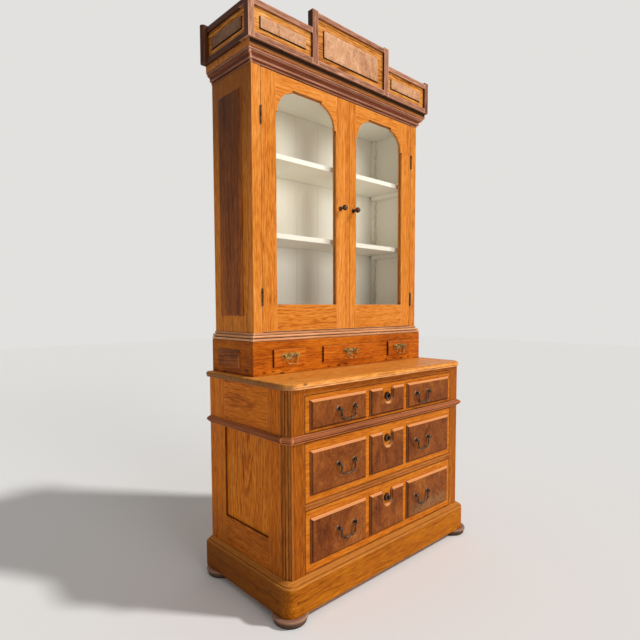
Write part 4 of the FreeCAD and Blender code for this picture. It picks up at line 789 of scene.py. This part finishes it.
def add_piece(name, shape, material, body):
    mesh = bpy.data.meshes.new(name)
    bmesh.ops.recalc_face_normals(shape, faces=shape.faces)
    shape.to_mesh(mesh)
    shape.free()
    mesh.materials.append(material)
    piece = bpy.data.objects.new(name, mesh)
    bpy.context.scene.collection.objects.link(piece)
    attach(piece, body)


def raise_outline(shape, outline, layers, lay):
    """A closed solid: the outline's points at each (height, scale) of layers, laid by the matrix lay."""
    rings = [[shape.verts.new(lay @ Vector((x * grow, y * grow, height))) for x, y in outline]
             for height, grow in layers]
    count = len(outline)
    for lower, upper in zip(rings, rings[1:]):
        for one in range(count):
            other = (one + 1) % count
            shape.faces.new((lower[one], lower[other], upper[other], upper[one]))
    shape.faces.new(list(reversed(rings[0])))
    shape.faces.new(rings[-1])


def around(radius, angles):
    return [(radius * math.cos(angle), radius * math.sin(angle)) for angle in angles]


def circle(radius, count):
    return around(radius, [2 * math.pi * step / count for step in range(count)])


def standing(place, out):
    """The matrix that brings Z to the direction out, at place."""
    return Matrix.Translation(place) @ Vector(out).to_track_quat("Z", "Y").to_matrix().to_4x4()


def add_screw(shape, place, out):
    """A slotted head at place, facing along out: a low disc and two raised halves."""
    lay = standing(place, out) @ Matrix.Rotation(random.uniform(0, math.pi), 4, "Z")
    raise_outline(shape, circle(SCREW_RADIUS, SCREW_SIDES), ((-SUNK, 1.0), (SCREW_HEIGHT * 0.4, 1.0)), lay)
    reach = math.acos(SLOT_HALF / SCREW_RADIUS)
    arc = around(SCREW_RADIUS, [reach * step / HALF_STEPS for step in range(-HALF_STEPS, HALF_STEPS + 1)])
    layers = ((SCREW_HEIGHT * 0.3, 1.0), (SCREW_HEIGHT * 0.7, 1.0), (SCREW_HEIGHT, 0.86))
    for side in (1, -1):
        raise_outline(shape, [(side * x, side * y) for x, y in arc], layers, lay)


def add_hinge_screws():
    """Three screws in each leaf of the butt hinges, on the faces that meet when a door is shut."""
    for title, body, face, out in (("left_door_hinge_screws", "left_door", -LEAF_X, -1),
                                   ("right_door_hinge_screws", "right_door", LEAF_X, 1),
                                   ("case_hinge_screws_left", "cabinet", -CASE_LEAF_X, 1),
                                   ("case_hinge_screws_right", "cabinet", CASE_LEAF_X, -1)):
        shape = bmesh.new()
        for middle in HINGE_HEIGHTS:
            for step in (-1, 0, 1):
                place = (face, SCREW_Y + SCREW_STAGGER * (step % 2), middle + step * SCREW_GAP)
                add_screw(shape, place, (out, 0, 0))
        add_piece(title, shape, bronze, body)


def add_dovetails():
    """The tails of each long drawer's sides, seen on the ends of its front."""
    for row in LONG_DRAWERS:
        low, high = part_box(f"{row}_drawer_box")
        front_low, front_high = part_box(f"{row}_drawer_front")
        count = max(3, round((high.z - low.z) / TAIL_PITCH))
        pitch = (high.z - low.z) / count
        near, far = front_high.y, front_low.y + TAIL_LAP
        root, tip = pitch * ROOT_SHARE, pitch * TIP_SHARE
        outline = [(near, -root), (far, -tip), (far, tip), (near, root)]
        shape = bmesh.new()
        for side, face in ((-1, front_low.x), (1, front_high.x)):
            for step in range(count):
                middle = low.z + (step + 0.5) * pitch
                lay = Matrix(((0, 0, side, face), (1, 0, 0, 0), (0, 1, 0, middle), (0, 0, 0, 1)))
                raise_outline(shape, outline, ((-SUNK, 1.0), (TAIL_HEIGHT, 1.0)), lay)
        add_piece(f"{row}_drawer_dovetails", shape, pine_ends, f"{row}_drawer")


def add_nails():
    """Cut nails that hold the back boards, in two rows on each back and in two columns on the lower one."""
    places = []
    for half, low_z, high_z, columns in NAIL_ROWS:
        for column in range(columns):
            x = -half + 2 * half * column / (columns - 1)
            places += [(x, low_z), (x, high_z)]
    places += [(side * NAIL_COLUMN_X, height) for side in (-1, 1) for height in NAIL_COLUMN_HEIGHTS]
    layers = ((-SUNK, 0.8), (NAIL_HEIGHT * 0.4, 1.0), (NAIL_HEIGHT, 0.6))
    shape = bmesh.new()
    for x, z in places:
        place = (x + random.uniform(-NAIL_STRAY, NAIL_STRAY), back_high.y,
                 z + random.uniform(-NAIL_STRAY, NAIL_STRAY))
        raise_outline(shape, circle(NAIL_RADIUS, NAIL_SIDES), layers, standing(place, (0, 1, 0)))
    add_piece("back_nails", shape, iron, "cabinet")


add_hinge_screws()
add_dovetails()
add_nails()

# ---------------------------------------------------------------- floor, background and light

FLOOR_HALF = 14.0
floor_colour = srgb(249, 247, 244)
background_colour = srgb(226, 225, 223)
FILL = 0.29                     # the light from all round, where 1 shows a colour as written
# each lamp: its strength on a surface that faces it, where it shines from, and its spread in degrees
LAMPS = {"key": (0.60, (0.45, -0.54, 0.71), 5.0),
         "front": (0.53, (-0.02, -0.99, 0.10), 36.0)}


def add_floor():
    material = Tree("floor").shaded({"Base Color": floor_colour, "Roughness": 0.9, "Specular IOR Level": 0.0})
    mesh = bpy.data.meshes.new("floor")
    corners = [(x * FLOOR_HALF, y * FLOOR_HALF, 0) for x, y in ((-1, -1), (1, -1), (1, 1), (-1, 1))]
    mesh.from_pydata(corners, [], [(0, 1, 2, 3)])
    mesh.materials.append(material)
    floor = bpy.data.objects.new("floor", mesh)
    bpy.context.scene.collection.objects.link(floor)


def add_light():
    world = bpy.data.worlds.new("studio")
    bpy.context.scene.world = world
    world.use_nodes = True
    tree = world.node_tree
    tree.nodes.clear()
    path = tree.nodes.new("ShaderNodeLightPath").outputs
    shown = path["Is Camera Ray"]
    for other in ("Is Glossy Ray", "Is Transmission Ray"):
        either = tree.nodes.new("ShaderNodeMath")
        either.operation = "MAXIMUM"
        tree.links.new(shown, either.inputs[0])
        tree.links.new(path[other], either.inputs[1])
        shown = either.outputs[0]
    fill, back = tree.nodes.new("ShaderNodeBackground"), tree.nodes.new("ShaderNodeBackground")
    fill.inputs["Color"].default_value = (1, 1, 1, 1)
    fill.inputs["Strength"].default_value = FILL
    back.inputs["Color"].default_value = background_colour
    back.inputs["Strength"].default_value = 1.0
    mix = tree.nodes.new("ShaderNodeMixShader")
    tree.links.new(shown, mix.inputs[0])
    tree.links.new(fill.outputs[0], mix.inputs[1])
    tree.links.new(back.outputs[0], mix.inputs[2])
    out = tree.nodes.new("ShaderNodeOutputWorld")
    tree.links.new(mix.outputs[0], out.inputs[0])

    for name, (strength, shines_from, spread) in LAMPS.items():
        data = bpy.data.lights.new(name, "SUN")
        data.energy = strength * math.pi
        data.angle = math.radians(spread)
        lamp = bpy.data.objects.new(name, data)
        lamp.rotation_euler = Vector(shines_from).to_track_quat("Z", "Y").to_euler()
        bpy.context.scene.collection.objects.link(lamp)


add_camera()
add_floor()
add_light()
bpy.context.scene.view_settings.view_transform = "Standard"
